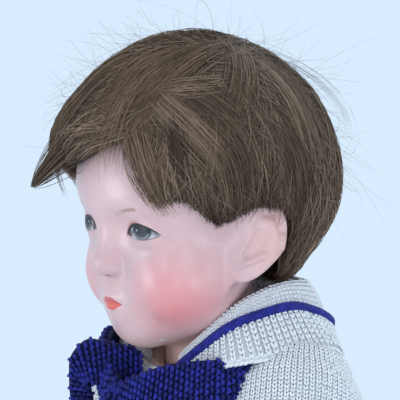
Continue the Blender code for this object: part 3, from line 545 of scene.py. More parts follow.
def paint_eyes(paint, skin, x, z):
    top, low = curve(x, LID_TOP, 4), curve(x, LID_LOW, 4)
    inside = x.ease(13.2, 14.0) * x.ease(31.4, 30.6)
    opening = (top - z).ease(0.0, 0.3) * (z - low).ease(-0.15, 0.25) * inside
    halo = abs(z - top).ease(2.4, 0.0) * x.ease(12.5, 14.0) * x.ease(25.0, 17.0)
    colour = paint.mix(halo * 0.95, skin, (0.40, 0.15, 0.11))
    pouch = abs(z - low).ease(1.8, 0.0) * x.ease(13.0, 15.0) * x.ease(30.0, 26.0)
    colour = paint.mix(pouch * 0.30, colour, (0.36, 0.27, 0.29))

    # Painted shade of the upper lid: the eye white and the iris are painted darker towards the top.
    white = paint.mix((top - z).ease(3.4, 0.8), (0.56, 0.54, 0.57), (0.24, 0.23, 0.26))
    corner = oval(x, z, (14.8, 0.2), (3.2, 2.8)).ease(1.0, 0.5)
    white = paint.mix(corner, white, (0.11, 0.065, 0.080))
    rim = oval(x, z, IRIS, IRIS_HALF)
    iris = paint.mix(z.ease(-2.2, 2.6), (0.055, 0.070, 0.088), (0.006, 0.008, 0.014))
    crescent = rim.ease(0.58, 0.80) * rim.ease(0.98, 0.86) * z.ease(1.6, -0.2)
    iris = paint.mix(crescent * 0.70, iris, (0.28, 0.30, 0.29))
    pupil = oval(x, z, (23.6, 2.1), (2.7, 2.1)).ease(1.1, 0.6)
    iris = paint.mix(pupil * 0.9, iris, (0.010, 0.013, 0.026))
    glint = oval(x, z, (20.3, 1.8), (0.9, 0.6)).ease(1.0, 0.4)
    iris = paint.mix(glint * 0.7, iris, (0.50, 0.58, 0.66))
    iris = paint.mix(rim.ease(0.90, 0.99) * z.ease(-2.4, 0.4), iris, (0.03, 0.033, 0.045))
    ball_colour = paint.mix(rim.ease(1.05, 0.97), white, iris)
    colour = paint.mix(opening, colour, ball_colour)

    thick = curve(x, LASH, 2)
    lash = ((top - z) / thick).ease(1.0, 0.60) * ((z - top) / thick).ease(0.35, 0.05) * x.ease(12.9, 13.7)
    colour = paint.mix(lash * x.ease(32.8, 30.0), colour, (0.010, 0.008, 0.012))
    under = band(x, z, LID_LOW, 4, 0.36, (13.8, 31.6))
    colour = paint.mix(under * (0.40 + 0.35 * x.ease(22.0, 28.0)), colour, (0.10, 0.055, 0.060))
    brow = band(x, z, BROW, 2, 1.05, (10.6, 24.2))
    return paint.mix(brow * (0.24 + 0.38 * x.ease(13.5, 19.0)), colour, (0.30, 0.165, 0.095))


def paint_mouth(paint, skin, x, z):
    top, part, low = (curve(x, knots, 3) for knots in (LIP_TOP, LIP_PART, LIP_LOW))
    sides = x.ease(8.3, 7.4)
    upper = (top - z).ease(-0.15, 0.35) * (z - part).ease(-0.2, 0.2) * sides
    lower = (part - z).ease(-0.2, 0.2) * (z - low).ease(-0.2, 0.4) * sides
    colour = paint.mix(upper * 0.92, skin, (0.60, 0.075, 0.085))
    shine = oval(x, z, (1.6, -34.3), (3.0, 1.2)).ease(1.0, 0.0)
    lower_red = paint.mix(shine * 0.55, (0.72, 0.085, 0.060), (0.84, 0.20, 0.13))
    colour = paint.mix(lower * 0.94, colour, lower_red)
    parting = abs(z - part).ease(0.35, 0.08) * sides
    colour = paint.mix(parting * 0.7, colour, (0.30, 0.025, 0.030))
    nostril = oval(x, z, (4.3, -19.7), (1.6, 0.55)).ease(1.0, 0.3)
    return paint.mix(nostril * 0.75, colour, (0.34, 0.055, 0.055))


print("eye knots", len(LID_TOP), "lip knots", len(LIP_TOP))

# %% Skin, blush and wear
def make_face_paint():
    paint = Finish("face_paint", Coat_Roughness=0.21, Specular_IOR_Level=0.35)
    spot = paint.place(HEAD_ORIGIN, MILLIMETRES)
    x, y, z = paint.axes(spot)
    x = abs(x)
    mottle = paint.noise(spot, 0.045, 3.0, 0.55)
    skin = paint.mix(mottle.ease(0.35, 0.65), (0.665, 0.425, 0.445), (0.730, 0.482, 0.490))
    ear = ball((x, y, z), (47.0, 9.0, -5.0), (11.0, 14.0, 19.0)).ease(1.0, 0.45)
    skin = paint.mix(ear * 0.65, skin, (0.80, 0.50, 0.475))
    # The neck is painted a warmer pink, and also lighter than the face as painted light where the chin shades
    # it.
    neck = z.ease(-46.0, -56.0)
    skin = paint.mix(neck * 0.85, skin, (0.86, 0.56, 0.48))
    # Painted light: the lower cheek and the side of the jaw are painted lighter and pinker, as light thrown
    # up onto them from below.
    jaw = ball((x, y, z), (33.0, -16.0, -45.0), (26.0, 24.0, 17.0)).ease(1.0, 0.3)
    skin = paint.mix(jaw * 0.8, skin, (0.95, 0.60, 0.585))
    brow_light = ball((x, y, z), (12.0, -48.0, 26.0), (26.0, 22.0, 22.0)).ease(1.1, 0.2)
    skin = paint.mix(brow_light * 0.40, skin, (0.71, 0.52, 0.54))
    eye_shade = ball((x, y, z), (21.0, -42.0, -7.5), (13.0, 12.0, 7.0)).ease(1.0, 0.2)
    nose_shade = ball((x, y, z), (13.0, -44.0, -15.0), (7.0, 9.0, 11.0)).ease(1.0, 0.2)
    mouth_shade = ball((x, y, z), (11.0, -42.0, -29.0), (7.0, 9.0, 8.0)).ease(1.0, 0.2)
    shade = eye_shade.most(nose_shade).most(mouth_shade * 0.8)
    skin = paint.mix(shade * 0.42, skin, (0.50, 0.40, 0.42))
    patch = mottle * 0.25 + ball((x, y, z), (33.5, -31.0, -31.5), (28.0, 34.0, 34.0))
    skin = paint.mix(patch.ease(1.12, 0.15) * 0.86, skin, (0.79, 0.265, 0.275))
    colour = paint_mouth(paint, paint_eyes(paint, skin, x, z), x, z)

    cracks = paint.add("ShaderNodeTexVoronoi", {"feature": "DISTANCE_TO_EDGE"},
                       {"Vector": spot, "Scale": 0.085})
    worn = paint.noise(spot, 0.03, 2.0).ease(0.52, 0.62)
    crack = cracks.ease(0.012, 0.002) * worn
    colour = paint.mix(crack * 0.12, colour, (0.30, 0.19, 0.17))
    fleck = paint.noise(spot, 0.9, 1.0).ease(0.745, 0.775)
    colour = paint.mix(fleck * 0.35, colour, (0.42, 0.28, 0.24))
    chip = ball(paint.axes(spot), (16.0, -27.5, -50.0), (1.7, 2.5, 1.5)).ease(1.0, 0.55)
    colour = paint.mix(chip * 0.9, colour, (0.86, 0.83, 0.79))
    paint.set("Base Color", colour)
    cloth = paint.noise(spot, 1.6, 2.0)
    paint.set("Roughness", 0.36 + 0.16 * cloth + 0.25 * chip)
    eye = ball((x, y, z), (22.5, -42.0, 1.2), (11.0, 9.0, 5.0)).ease(1.0, 0.7)
    paint.set("Coat Weight", 0.48 - 0.48 * chip.most(eye * 0.85))
    swell = paint.noise(spot, 0.12, 2.0)
    paint.bump(cloth * 0.10 + swell * 0.9 - crack * 0.18 - chip * 0.5, 0.0004, 0.5)
    return paint


face_paint = make_face_paint()
print("face paint nodes", len(face_paint.tree.nodes))

# %% The head's piece
def dress(piece, body, slot, *nodes):
    """Puts a piece on a body and hides the CAD nodes it stands for. Its material slot is not used."""
    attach(piece, body)
    if nodes:
        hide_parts(*nodes)
    return piece


def close_end(faces, rows, columns, point):
    """Closes the last row of a round grid with a fan to a point."""
    start = (rows - 1) * columns
    return faces + [(point, start + (c + 1) % columns, start + c) for c in range(columns)]


neck_middle = np.array((0.0, NECK[0][1] + HEAD_ORIGIN[1], NECK_END + HEAD_ORIGIN[2]))
head_faces = close_end(grid_faces(HEAD_ROWS, HEAD_COLUMNS), HEAD_ROWS, HEAD_COLUMNS, len(head_points))
head = link_mesh("head", np.vstack((head_points, neck_middle)), head_faces, face_paint)
dress(head, "head", "paint", "head_mask")
print("head faces", len(head_faces))

# %% [markdown]
# ## The wig
# The wig is real hair sewn to a gauze cap: a side parting runs from the whorl to the forehead, the fringe is
# combed across to the doll's right, and the rest is cut bluntly above the ears and at the nape, where it
# stands off the neck. A particle system can comb hair, but its result is hard to repeat. Here each strand
# walks over the head in small steps along a combing direction until it meets the cut line. Strands gather
# into locks, and a Geometry Nodes tree sweeps a thin three-sided profile along all of them.

# %% Shape of the wig
HAIR_FORMS = (((0, 0.000, 0.030), (0.0555, 0.0620, 0.0580), 0.010),
              ((0, 0.022, 0.018), (0.0500, 0.0500, 0.0450), 0.014),
              ((-0.009, -0.041, 0.036), (0.028, 0.023, 0.021), 0.010),
              ((0, 0.026, -0.012), (0.034, 0.0205, 0.0225), 0.012))
CUT_LINE = (   # degrees from the front to the left, degrees down from the crown
    (-180, 119), (-150, 119), (-134, 117), (-125, 105), (-120, 94), (-116, 85), (-114, 79), (-105, 75),
    (-94, 73), (-84, 75), (-72, 78), (-58, 70), (-44, 65), (-32, 62), (-22, 61), (-15, 61), (-10, 60),
    (3, 57), (10, 54), (18, 52), (24, 49), (27, 51), (31, 55), (34, 61), (38, 68), (42, 72), (46, 72),
    (51, 70), (57, 72), (63, 76), (69, 80), (75, 79), (82, 76), (94, 73), (105, 75), (114, 79), (116, 85),
    (120, 94), (125, 105), (134, 117), (150, 119), (180, 119))
PARTING = ((17, 93), (23, 68), (31, 57), (41, 42), (53, 27), (60, 25))    # degrees down, degrees to the left
WHORL = fan(np.radians(93), np.radians(17))
HAIR_FLOOR = 0.0020      # lowest strands over the head
THIN_HAIR = 0.0070       # least height of the hair's top over the head


def wig_top(points):
    d = ellipsoid(points, *HAIR_FORMS[0][:2])
    for centre, radii, blend in HAIR_FORMS[1:]:
        d = join(d, ellipsoid(points, centre, radii), blend)
    return np.minimum(d, skull_distance(points) - THIN_HAIR)


def wig_floor(points):
    return skull_distance(points) - HAIR_FLOOR


def around(directions):
    """Angles of directions from the core: degrees from the front to the left, degrees down from the top."""
    side = np.degrees(np.arctan2(directions[..., 0], -directions[..., 1]))
    down = np.degrees(np.arccos(np.clip(directions[..., 2], -1.0, 1.0)))
    return side, down


def cut_at(side):
    table = np.array(CUT_LINE, float)
    return np.interp(side, table[:, 0], table[:, 1])


def reach_table(distance, rows=110, columns=241):
    """A function that looks up how far a surface is from the core, from a table over all directions."""
    side = np.linspace(-math.pi, math.pi, columns)
    down = np.linspace(0.0, math.radians(130), rows)
    rays = fan(*np.meshgrid(side, down))
    table = np.linalg.norm(trace(rays, distance) - HEAD_CORE, axis=-1)

    def look_up(directions):
        angle, polar = (np.radians(a) for a in around(directions))
        across = (angle + math.pi) / TURN * (columns - 1)
        along = np.clip(polar / down[-1] * (rows - 1), 0.0, rows - 1.001)
        c = np.minimum(across.astype(int), columns - 2)
        r = along.astype(int)
        u, v = across - c, along - r
        near = table[r, c] * (1 - u) + table[r, c + 1] * u
        far = table[r + 1, c] * (1 - u) + table[r + 1, c + 1] * u
        return near * (1 - v) + far * v
    return look_up


def stand_off(side, down):
    """How far the back of the wig hangs free of the neck."""
    behind = np.clip((np.abs(side) - 116.0) / 14.0, 0.0, 1.0)
    low = np.clip((down - 66.0) / 30.0, 0.0, 1.0)
    return 0.0062 * behind * low


def unit(vectors):
    return vectors / np.maximum(np.linalg.norm(vectors, axis=-1, keepdims=True), 1e-12)


def combing(directions):
    """Direction in which hair is combed: out from the whorl and away from the parting on both sides."""
    away = unit(directions * (directions @ WHORL)[..., None] - WHORL)
    side, down = around(directions)
    leftwards = np.stack((np.cos(np.radians(side)), np.sin(np.radians(side)), np.zeros_like(side)), -1)
    table = np.array(PARTING, float)
    off = (side - np.interp(down, table[:, 0], table[:, 1])) * np.sin(np.radians(down))
    front = np.clip((112.0 - np.abs(side - 20.0)) / 30.0, 0.0, 1.0) * np.clip((down - 8.0) / 10.0, 0.0, 1.0)
    push = np.where(off > 0, 1.35 * np.exp(-np.abs(off) / 22.0), -0.95 * np.exp(-np.abs(off) / 48.0)) * front
    return unit(away + leftwards * push[..., None])


WIG_TOP_REACH = reach_table(wig_top)
WIG_FLOOR_REACH = reach_table(wig_floor)
print("cut line knots", len(CUT_LINE))

# %% Wig cap and the dark mass under the strands
GAUZE_INSIDE, GAUZE_OUTSIDE = 0.0013, 0.0003        # depths of the cap under the lowest strands
ROOT_DEPTH = 0.0052      # strands start this far under the top of the hair
MASS_DEPTH, MASS_THICK = 0.0046, 0.0014
MASS_TRIM = math.radians(2.6)


def wig_shell(name, finish, low, high, rows, columns, trim):
    """A closed cup between two surfaces given over the head's directions, ended short of the cut line."""
    angles = np.linspace(-math.pi, math.pi, columns, endpoint=False)
    edge = np.radians(cut_at(np.degrees(angles))) - trim(angles)
    share = (np.arange(rows) + 1.0) / rows
    polar = share[:, None] * edge[None, :]
    rays = fan(np.broadcast_to(angles, polar.shape), polar)
    top_ray = np.array(((0.0, 0.0, 1.0),))
    outer = HEAD_CORE + rays * high(rays)[..., None]
    inner = HEAD_CORE + rays * low(rays)[..., None]
    grid = np.concatenate((outer.reshape(-1, 3), inner[::-1].reshape(-1, 3)))
    poles = np.concatenate([HEAD_CORE + top_ray * level(top_ray)[..., None] for level in (high, low)])
    faces = close_end(grid_faces(2 * rows, columns), 2 * rows, columns, len(grid) + 1)
    return link_mesh(name, np.concatenate((grid, poles)) + HEAD_ORIGIN, faces, finish)


def floor_reach(rays):
    return WIG_FLOOR_REACH(rays) + stand_off(*around(rays))


def root_reach(rays):
    """Where strands start: close under the top of the hair, or at the cap where the hair is thin."""
    return np.maximum(floor_reach(rays), WIG_TOP_REACH(rays) - ROOT_DEPTH)


def mass_reach(rays):
    return np.maximum(floor_reach(rays) + MASS_THICK, WIG_TOP_REACH(rays) - MASS_DEPTH)


def cap_trim(angles):
    """The gauze shows only behind the ears and at the nape, and stays inside the hair elsewhere."""
    behind = np.clip((np.abs(np.degrees(angles)) - 108.0) / 10.0, 0.0, 1.0)
    return np.radians(6.0 - 5.0 * behind)


# The gauze is painted dark brown as painted shade: behind the ears and at the nape it stands for the shadowed
# hollow between the wig and the neck.
gauze = Finish("wig_gauze", Roughness=0.9)
weave = gauze.add("ShaderNodeTexChecker", None, {"Vector": gauze.place(), "Scale": 1400.0}, "Fac")
gauze.set("Base Color", gauze.mix(weave, (0.085, 0.058, 0.040), (0.17, 0.12, 0.085)))
gauze.bump(weave, 0.0003)
wig_cap = wig_shell("cap_gauze", gauze, lambda r: floor_reach(r) - GAUZE_INSIDE,
                    lambda r: floor_reach(r) - GAUZE_OUTSIDE, 24, 96, cap_trim)
dress(wig_cap, "head", "gauze", "wig_cap")

# The mass stands for the deeper hair and is painted darker than the strands, as painted shade under them.
undercoat = Finish("hair_undercoat", Roughness=0.75)
streak = undercoat.noise(undercoat.place(), 900.0, 3.0)
undercoat.set("Base Color", undercoat.mix(streak, (0.016, 0.010, 0.007), (0.075, 0.049, 0.030)))
undercoat.bump(streak, 0.0006)
wig_mass = wig_shell("hair_mass", undercoat, floor_reach, mass_reach, 40, 144, lambda angles: MASS_TRIM)
dress(wig_mass, "head", "hair", "wig_hair")
print("wig cap and hair mass made")

# %% A tree that sweeps paths
def start_tree(name, kinds, **inputs):
    """A new tree with its sockets, and its nodes by short names."""
    tree = bpy.data.node_groups.new(name, "GeometryNodeTree")
    for socket, kind in {"Geometry": "NodeSocketGeometry", **inputs, "Finish": "NodeSocketMaterial"}.items():
        tree.interface.new_socket(name=socket, in_out="INPUT", socket_type=kind)
    tree.interface.new_socket(name="Geometry", in_out="OUTPUT", socket_type="NodeSocketGeometry")
    every_tree = {"start": "NodeGroupInput", "real": "GeometryNodeRealizeInstances",
                  "paint": "GeometryNodeSetMaterial", "end": "NodeGroupOutput"}
    return tree, {key: tree.nodes.new(kind) for key, kind in {**every_tree, **kinds}.items()}


def read_attribute(node, name, kind):
    node.data_type = kind
    node.inputs["Name"].default_value = name


def link_tree(tree, nodes, links):
    """Links given as node, output, node, input, and then the last steps, which are the same in every tree."""
    last_steps = (("real", "Geometry", "paint", "Geometry"), ("start", "Finish", "paint", "Material"),
                  ("paint", "Geometry", "end", "Geometry"))
    for source, output, target, socket in (*links, *last_steps):
        tree.links.new(nodes[source].outputs[output], nodes[target].inputs[socket])
    return tree


def make_sweep_tree():
    """Mesh edges become curves, and a small ring swept along them becomes the strand's surface."""
    tree, nodes = start_tree("sweep_paths", {
        "curves": "GeometryNodeMeshToCurve", "ring": "GeometryNodeCurvePrimitiveCircle",
        "taper": "GeometryNodeInputNamedAttribute", "size": "ShaderNodeMath",
        "sweep": "GeometryNodeCurveToMesh", "smooth": "GeometryNodeSetShadeSmooth",
    }, Radius="NodeSocketFloat", Sides="NodeSocketInt")
    read_attribute(nodes["taper"], "taper", "FLOAT")
    nodes["size"].operation = "MULTIPLY"
    nodes["ring"].inputs["Radius"].default_value = 1.0
    nodes["sweep"].inputs["Fill Caps"].default_value = True
    return link_tree(tree, nodes, (
        ("start", "Geometry", "curves", "Mesh"), ("curves", "Curve", "sweep", "Curve"),
        ("start", "Sides", "ring", "Resolution"), ("ring", "Curve", "sweep", "Profile Curve"),
        ("taper", "Attribute", "size", 0), ("start", "Radius", "size", 1), ("size", 0, "sweep", "Scale"),
        ("sweep", "Mesh", "smooth", "Geometry"), ("smooth", "Geometry", "real", "Geometry")))


def socket_names(tree):
    """Identifiers of a tree's inputs by their names."""
    return {item.name: item.identifier for item in tree.interface.items_tree if item.in_out == "INPUT"}


def grow(made, tree, **inputs):
    """Runs a Geometry Nodes tree on an object and keeps its result as a plain mesh."""
    modifier = made.modifiers.new(tree.name, "NODES")
    modifier.node_group = tree
    names = socket_names(tree)
    for name, value in inputs.items():
        modifier[names[name]] = value
    made.update_tag()
    graph = bpy.context.evaluated_depsgraph_get()
    graph.update()
    mesh = bpy.data.meshes.new_from_object(made.evaluated_get(graph), depsgraph=graph)
    made.modifiers.remove(modifier)
    made.data = mesh
    return made


SWEEP_TREE = make_sweep_tree()


def seed_mesh(name, points, edges, finish, **attributes):
    """An object of loose points or edges with attributes for a tree to read."""
    mesh = bpy.data.meshes.new(name)
    mesh.from_pydata(points.tolist(), edges, [])
    for key, values in attributes.items():
        kind, field = ("FLOAT", "value") if values.ndim == 1 else ("FLOAT_VECTOR", "vector")
        data = mesh.attributes.new(key, kind, "POINT").data
        data.foreach_set(field, values.astype(np.float32).ravel())
    mesh.materials.append(finish.material)
    made = bpy.data.objects.new(name, mesh)
    scene.collection.objects.link(made)
    return made


def sweep_paths(name, paths, taper, tone, radius, finish, sides=3):
    """One piece with a thin tube along each path. Paths are (count, points, 3)."""
    shape = paths.shape[:2]
    starts = np.arange(shape[0])[:, None] * shape[1] + np.arange(shape[1] - 1)[None, :]
    edges = np.stack((starts, starts + 1), -1).reshape(-1, 2)
    made = seed_mesh(name, paths.reshape(-1, 3), edges.tolist(), finish,
                     taper=np.broadcast_to(taper, shape).ravel(), tone=np.broadcast_to(tone, shape).ravel())
    return grow(made, SWEEP_TREE, Radius=radius, Sides=sides, Finish=finish.material)


print("sweep tree nodes", len(SWEEP_TREE.nodes))

# %% Comb the strands
STRANDS = 12800
PARTED_STRANDS = 2200    # more of them beside the parting and round the whorl
LOCKS = 430
STEP = 0.0024
STEP_TURN = STEP / 0.062         # the angle that one step takes at the head's mean radius
WALK = 38                # steps
STRAND_POINTS = 8
STRAND_RADIUS = 0.00020
STRAND_REACH = (0.034, 0.090)
SHORTEST = 0.006
LOCK_WIDTH = 0.016       # strands that end farther off stay out of a lock
rng = np.random.default_rng(7)


def random_roots(count):
    """Directions spread evenly over the wig inside its cut line."""
    kept = np.empty((0, 3))
    while len(kept) < count:
        rays = unit(rng.normal(size=(4 * count, 3)))
        side, down = around(rays)
        kept = np.concatenate((kept, rays[down < cut_at(side) - 1.0]))
    return kept[:count]


def parted_roots(count):
    """Directions beside the parting, thickest at the whorl."""
    table = np.array(PARTING, float)
    down = 14.0 + 38.0 * rng.uniform(0.0, 1.0, count) ** 1.5
    side = np.interp(down, table[:, 0], table[:, 1]) + rng.normal(0.0, 3.2, count) / np.sin(np.radians(down))
    return unit(fan(np.radians(side), np.radians(down)) + rng.normal(0.0, 0.03, (count, 3)))


def walk_over_head(roots, longest, wander):
    """Steps along the combing direction until the cut line or the strand's own length."""
    places = [roots]
    alive = np.ones(len(roots), bool)
    walked = np.zeros(len(roots))
    jitter = rng.normal(0.0, 1.7, len(roots))
    phase = rng.uniform(0.0, TURN, len(roots))
    current = roots
    for step in range(WALK):
        flow = combing(current)
        turn = wander + 0.22 * np.sin(phase + 0.42 * step)
        flow = unit(flow + np.cross(current, flow) * turn[:, None])
        ahead = unit(current + flow * STEP_TURN)
        side, down = around(ahead)
        alive = alive & (down < cut_at(side) + jitter) & (walked < longest)
        current = np.where(alive[:, None], ahead, current)
        walked = walked + np.where(alive, STEP, 0.0)
        places.append(current)
    return np.stack(places, 1), walked


def evenly(places, walked, points):
    """The walked part of each path again, as a fixed number of points."""
    steps = walked / STEP
    at = steps[:, None] * np.linspace(0.0, 1.0, points)[None, :]
    low = np.floor(at).astype(int)
    high = np.minimum(low + 1, places.shape[1] - 1)
    rows = np.arange(len(places))[:, None]
    part = (at - low)[..., None]
    return unit(places[rows, low] * (1.0 - part) + places[rows, high] * part)


def lock_drift(rays):
    """How far the combing turns from lock to lock, so that neighbours lie across each other."""
    x, y, z = (rays[..., k] for k in range(3))
    slow = np.sin(7.0 * x - 5.0 * z + 0.6) * np.sin(6.0 * y + 4.0 * z + 0.3)
    return 0.30 * slow + 0.22 * np.sin(17.0 * y + 11.0 * x) * np.sin(19.0 * z - 8.0 * x)


def comb_strands():
    roots = np.concatenate((random_roots(STRANDS), parted_roots(PARTED_STRANDS)))
    longest = rng.uniform(*STRAND_REACH, len(roots))
    places, walked = walk_over_head(roots, longest, lock_drift(roots) + rng.normal(0.0, 0.17, len(roots)))
    long_enough = walked > SHORTEST
    places, walked = places[long_enough], walked[long_enough]
    rays = evenly(places, walked, STRAND_POINTS)
    along = np.linspace(0.0, 1.0, STRAND_POINTS)[None, :]
    floor = root_reach(rays)
    room = np.maximum(WIG_TOP_REACH(rays) - floor, 0.0015)
    swell = 0.16 * np.sin(23.0 * roots[long_enough] @ np.array((0.8, 0.5, -0.4)))
    depth = np.clip(np.sqrt(rng.uniform(0.05, 1.0, len(rays))) + swell, 0.05, 1.12)[:, None]
    rise = np.clip(along / 0.22, 0.0, 1.0)
    rise = rise * rise * (3.0 - 2.0 * rise)
    paths = HEAD_CORE + rays * (floor + room * depth * rise)[..., None]
    return roots[long_enough], paths, depth


def gather_locks(roots, paths):
    """Draws each strand towards the nearest of some chosen ones, more at its tip, and gives lock numbers."""
    chosen = rng.choice(len(roots), LOCKS, replace=False)
    nearest = np.argmax(roots @ roots[chosen].T, axis=1)
    along = np.linspace(0.0, 1.0, STRAND_POINTS)[None, :, None]
    pull = 0.62 * along**1.4 * rng.uniform(0.5, 1.0, len(roots))[:, None, None]
    gap = paths[chosen][nearest] - paths
    near_enough = (np.linalg.norm(gap[:, -1], axis=-1) < LOCK_WIDTH)[:, None, None]
    return paths + gap * pull * near_enough, nearest


hair_roots, hair_paths, hair_depth = comb_strands()
hair_paths, hair_lock = gather_locks(hair_roots, hair_paths)
print("strands", len(hair_paths))

# %% Colour of the hair and its pieces
HAIR_COLOURS = (         # tone of a strand and its colour
    (0.0, (0.018, 0.0105, 0.006)), (0.30, (0.069, 0.041, 0.025)), (0.60, (0.168, 0.107, 0.067)),
    (1.0, (0.42, 0.302, 0.22)))
CROWN_EDGE = 34          # degrees down from the top


def make_hair_finish():
    hair = Finish("ash_brown_hair", Specular_IOR_Level=0.35)
    tone = hair.attribute("tone")
    hair.set("Base Color", hair.ramp(tone, HAIR_COLOURS))
    hair.set("Roughness", 0.62 - 0.18 * tone)
    return hair


hair_finish = make_hair_finish()
root_side, root_down = around(hair_roots)
# Painted shade: strands that lie deeper under the others, strands rooted lower on the head and the ends in
# front of the left ear are made darker. Each lock and strand also has its own random tone, and the other ends
# are a little lighter.
lock_tone = rng.normal(0.0, 0.13, LOCKS)[hair_lock] - 0.009 * np.clip(root_down - 50.0, 0.0, 26.0)
strand_tone = 0.36 + 0.36 * hair_depth[:, 0] + lock_tone + rng.normal(0.0, 0.17, len(hair_paths))
tip = np.linspace(0.0, 1.0, STRAND_POINTS)
tip_tone = 0.12 - 0.75 * np.exp(-((root_side - 70.0) / 32.0)**2)     # darker ends in front of the left ear
hair_tone = np.clip(strand_tone[:, None] + tip_tone[:, None] * tip[None, :]**2 - 0.05, 0.0, 1.0)
hair_taper = np.interp(tip, (0.0, 0.15, 0.75, 1.0), (0.7, 1.0, 0.85, 0.35))
below = root_down >= CROWN_EDGE
HAIR_REGIONS = {
    "hair_crown": ~below,
    "hair_front": below & (np.abs(root_side + 12) < 45),
    "hair_left": below & (root_side >= 33) & (root_side < 125),
    "hair_right": below & (root_side <= -57) & (root_side > -125),
    "hair_back_left": below & (root_side >= 125),
    "hair_back_right": below & (root_side <= -125),
}
for name, region in HAIR_REGIONS.items():
    piece = sweep_paths(name, hair_paths[region] + HEAD_ORIGIN, hair_taper, hair_tone[region],
                        STRAND_RADIUS, hair_finish)
    dress(piece, "head", "hair")
    print(name, len(piece.data.polygons), "faces")

# %% [markdown]
# ### Stray hairs
# An old wig is never quite in order: tufts fall over each other, hairs lie across, a pointed lock ends the
# fringe, fine hairs stand off all round and one long wisp arches away behind the crown. A speck of lint has
# caught above the ear. Each kind has a function that draws its paths, and the same tree sweeps them all.

# %% Hairs across, flyaways, fringe lock, wisp and lint
STRAYS = 2900
FLYAWAYS = 820
FLYAWAY_REACH = np.array((0.080, 0.084, 0.1055))    # half size of a box round the head
TUFTS = (   # (degrees to the left, degrees down) along the tuft, hairs, spread at its root and tip, tones
    (((29, 43), (34, 53), (39, 63), (46, 73)), 210, 0.0034, 0.0028, (0.35, 0.85)),
    (((35, 34), (46, 41), (63, 51), (75, 62)), 330, 0.0030, 0.0046, (0.40, 0.95)),
    (((41, 33), (60, 35), (77, 43), (84, 55)), 240, 0.0030, 0.0050, (0.25, 0.75)),
    (((30, 33), (47, 35), (70, 33), (88, 30)), 70, 0.0020, 0.0022, (0.75, 1.0)),
    (((112, 13), (62, 21), (39, 33), (27, 46)), 300, 0.0026, 0.0060, (0.35, 0.90)),
    (((114, 17), (121, 34), (124, 51), (125, 66)), 260, 0.0030, 0.0060, (0.40, 0.90)),
    (((102, 42), (110, 56), (113, 68), (112, 77)), 180, 0.0040, 0.0040, (0.28, 0.70)),
    (((43, 38), (50, 45), (53, 55), (55, 68)), 150, 0.0016, 0.0024, (0.08, 0.35)),
    (((112, 13), (95, 25), (82, 38), (74, 48)), 240, 0.0026, 0.0056, (0.30, 0.85)),
    (((69, 44), (77, 54), (81, 64), (80, 74)), 160, 0.0040, 0.0040, (0.26, 0.66)),
    (((73, 16), (34, 25), (21, 39), (16, 55)), 330, 0.0034, 0.0070, (0.35, 0.90)),
    (((20, 18), (-8, 30), (-16, 46), (-20, 64)), 300, 0.0050, 0.0070, (0.25, 0.80)),
    (((-60, 20), (-75, 36), (-84, 54), (-86, 70)), 260, 0.0050, 0.0070, (0.25, 0.85)),
    (((178, 24), (170, 46), (166, 70), (165, 96)), 300, 0.0060, 0.0080, (0.25, 0.85)),
)
FRINGE_LOCK = ((-5, -58, 42), (-11, -65.5, 33), (-17, -69.5, 25), (-22, -71.5, 19.5))          # millimetres
LONG_WISP = ((15, 16, 80), (15, 29, 78.5), (15, 45, 73.5), (15, 62, 64.5), (15, 74, 54), (15, 79, 43))
LINT, LINT_HALF = (43.6, -19.0, 57.4), (0.0, 2.2, -0.6)
TUFT_RADIUS = 0.00017
SHORT_POINTS = 8
part_way = np.linspace(0.0, 1.0, SHORT_POINTS)


def knots_at(share, values):
    """A smooth curve through evenly spaced values, read at shares of its length."""
    return np.polynomial.Polynomial.fit(np.linspace(0.0, 1.0, len(values)), values, len(values) - 1)(share)


def stray_paths(count):
    """Hairs just over the combed surface, turned well away from the combing."""
    roots = np.concatenate((random_roots(count // 2), parted_roots(count - count // 2)))
    places, walked = walk_over_head(roots, rng.uniform(0.016, 0.050, count), rng.normal(0.0, 0.85, count))
    rays = evenly(places, walked, SHORT_POINTS)
    arch = np.sin(math.pi * part_way)[None, :] * rng.uniform(0.0002, 0.0022, (count, 1)) - 0.0006
    return HEAD_CORE + rays * (WIG_TOP_REACH(rays) + arch)[..., None]


def tuft_paths(stations, count, root_spread, tip_spread):
    """Hairs along one curve over the wig, each with its own start and end on it."""
    table = np.radians(np.array(stations, float))
    first = rng.uniform(0.0, 0.22, (count, 1))
    share = first + (rng.uniform(0.76, 1.0, (count, 1)) - first) * part_way
    side, down = (knots_at(share, table[:, k]) for k in range(2))
    rays = fan(side, down)
    spread = (root_spread + (tip_spread - root_spread) * share)[..., None]
    bend = rng.normal(0.0, 0.0016, (count, 1, 3)) * np.sin(math.pi * part_way)[None, :, None]
    beside = np.clip(rng.normal(0.0, 1.0, (count, 1, 3)), -1.5, 1.5)
    places = rays * WIG_TOP_REACH(rays)[..., None] + beside * spread + bend
    rays = unit(places)
    arch = rng.uniform(0.0004, 0.0030, (count, 1)) * np.sin(math.pi * np.clip(part_way, 0.0, 0.93)) - 0.0008
    return HEAD_CORE + rays * (WIG_TOP_REACH(rays) + arch)[..., None]


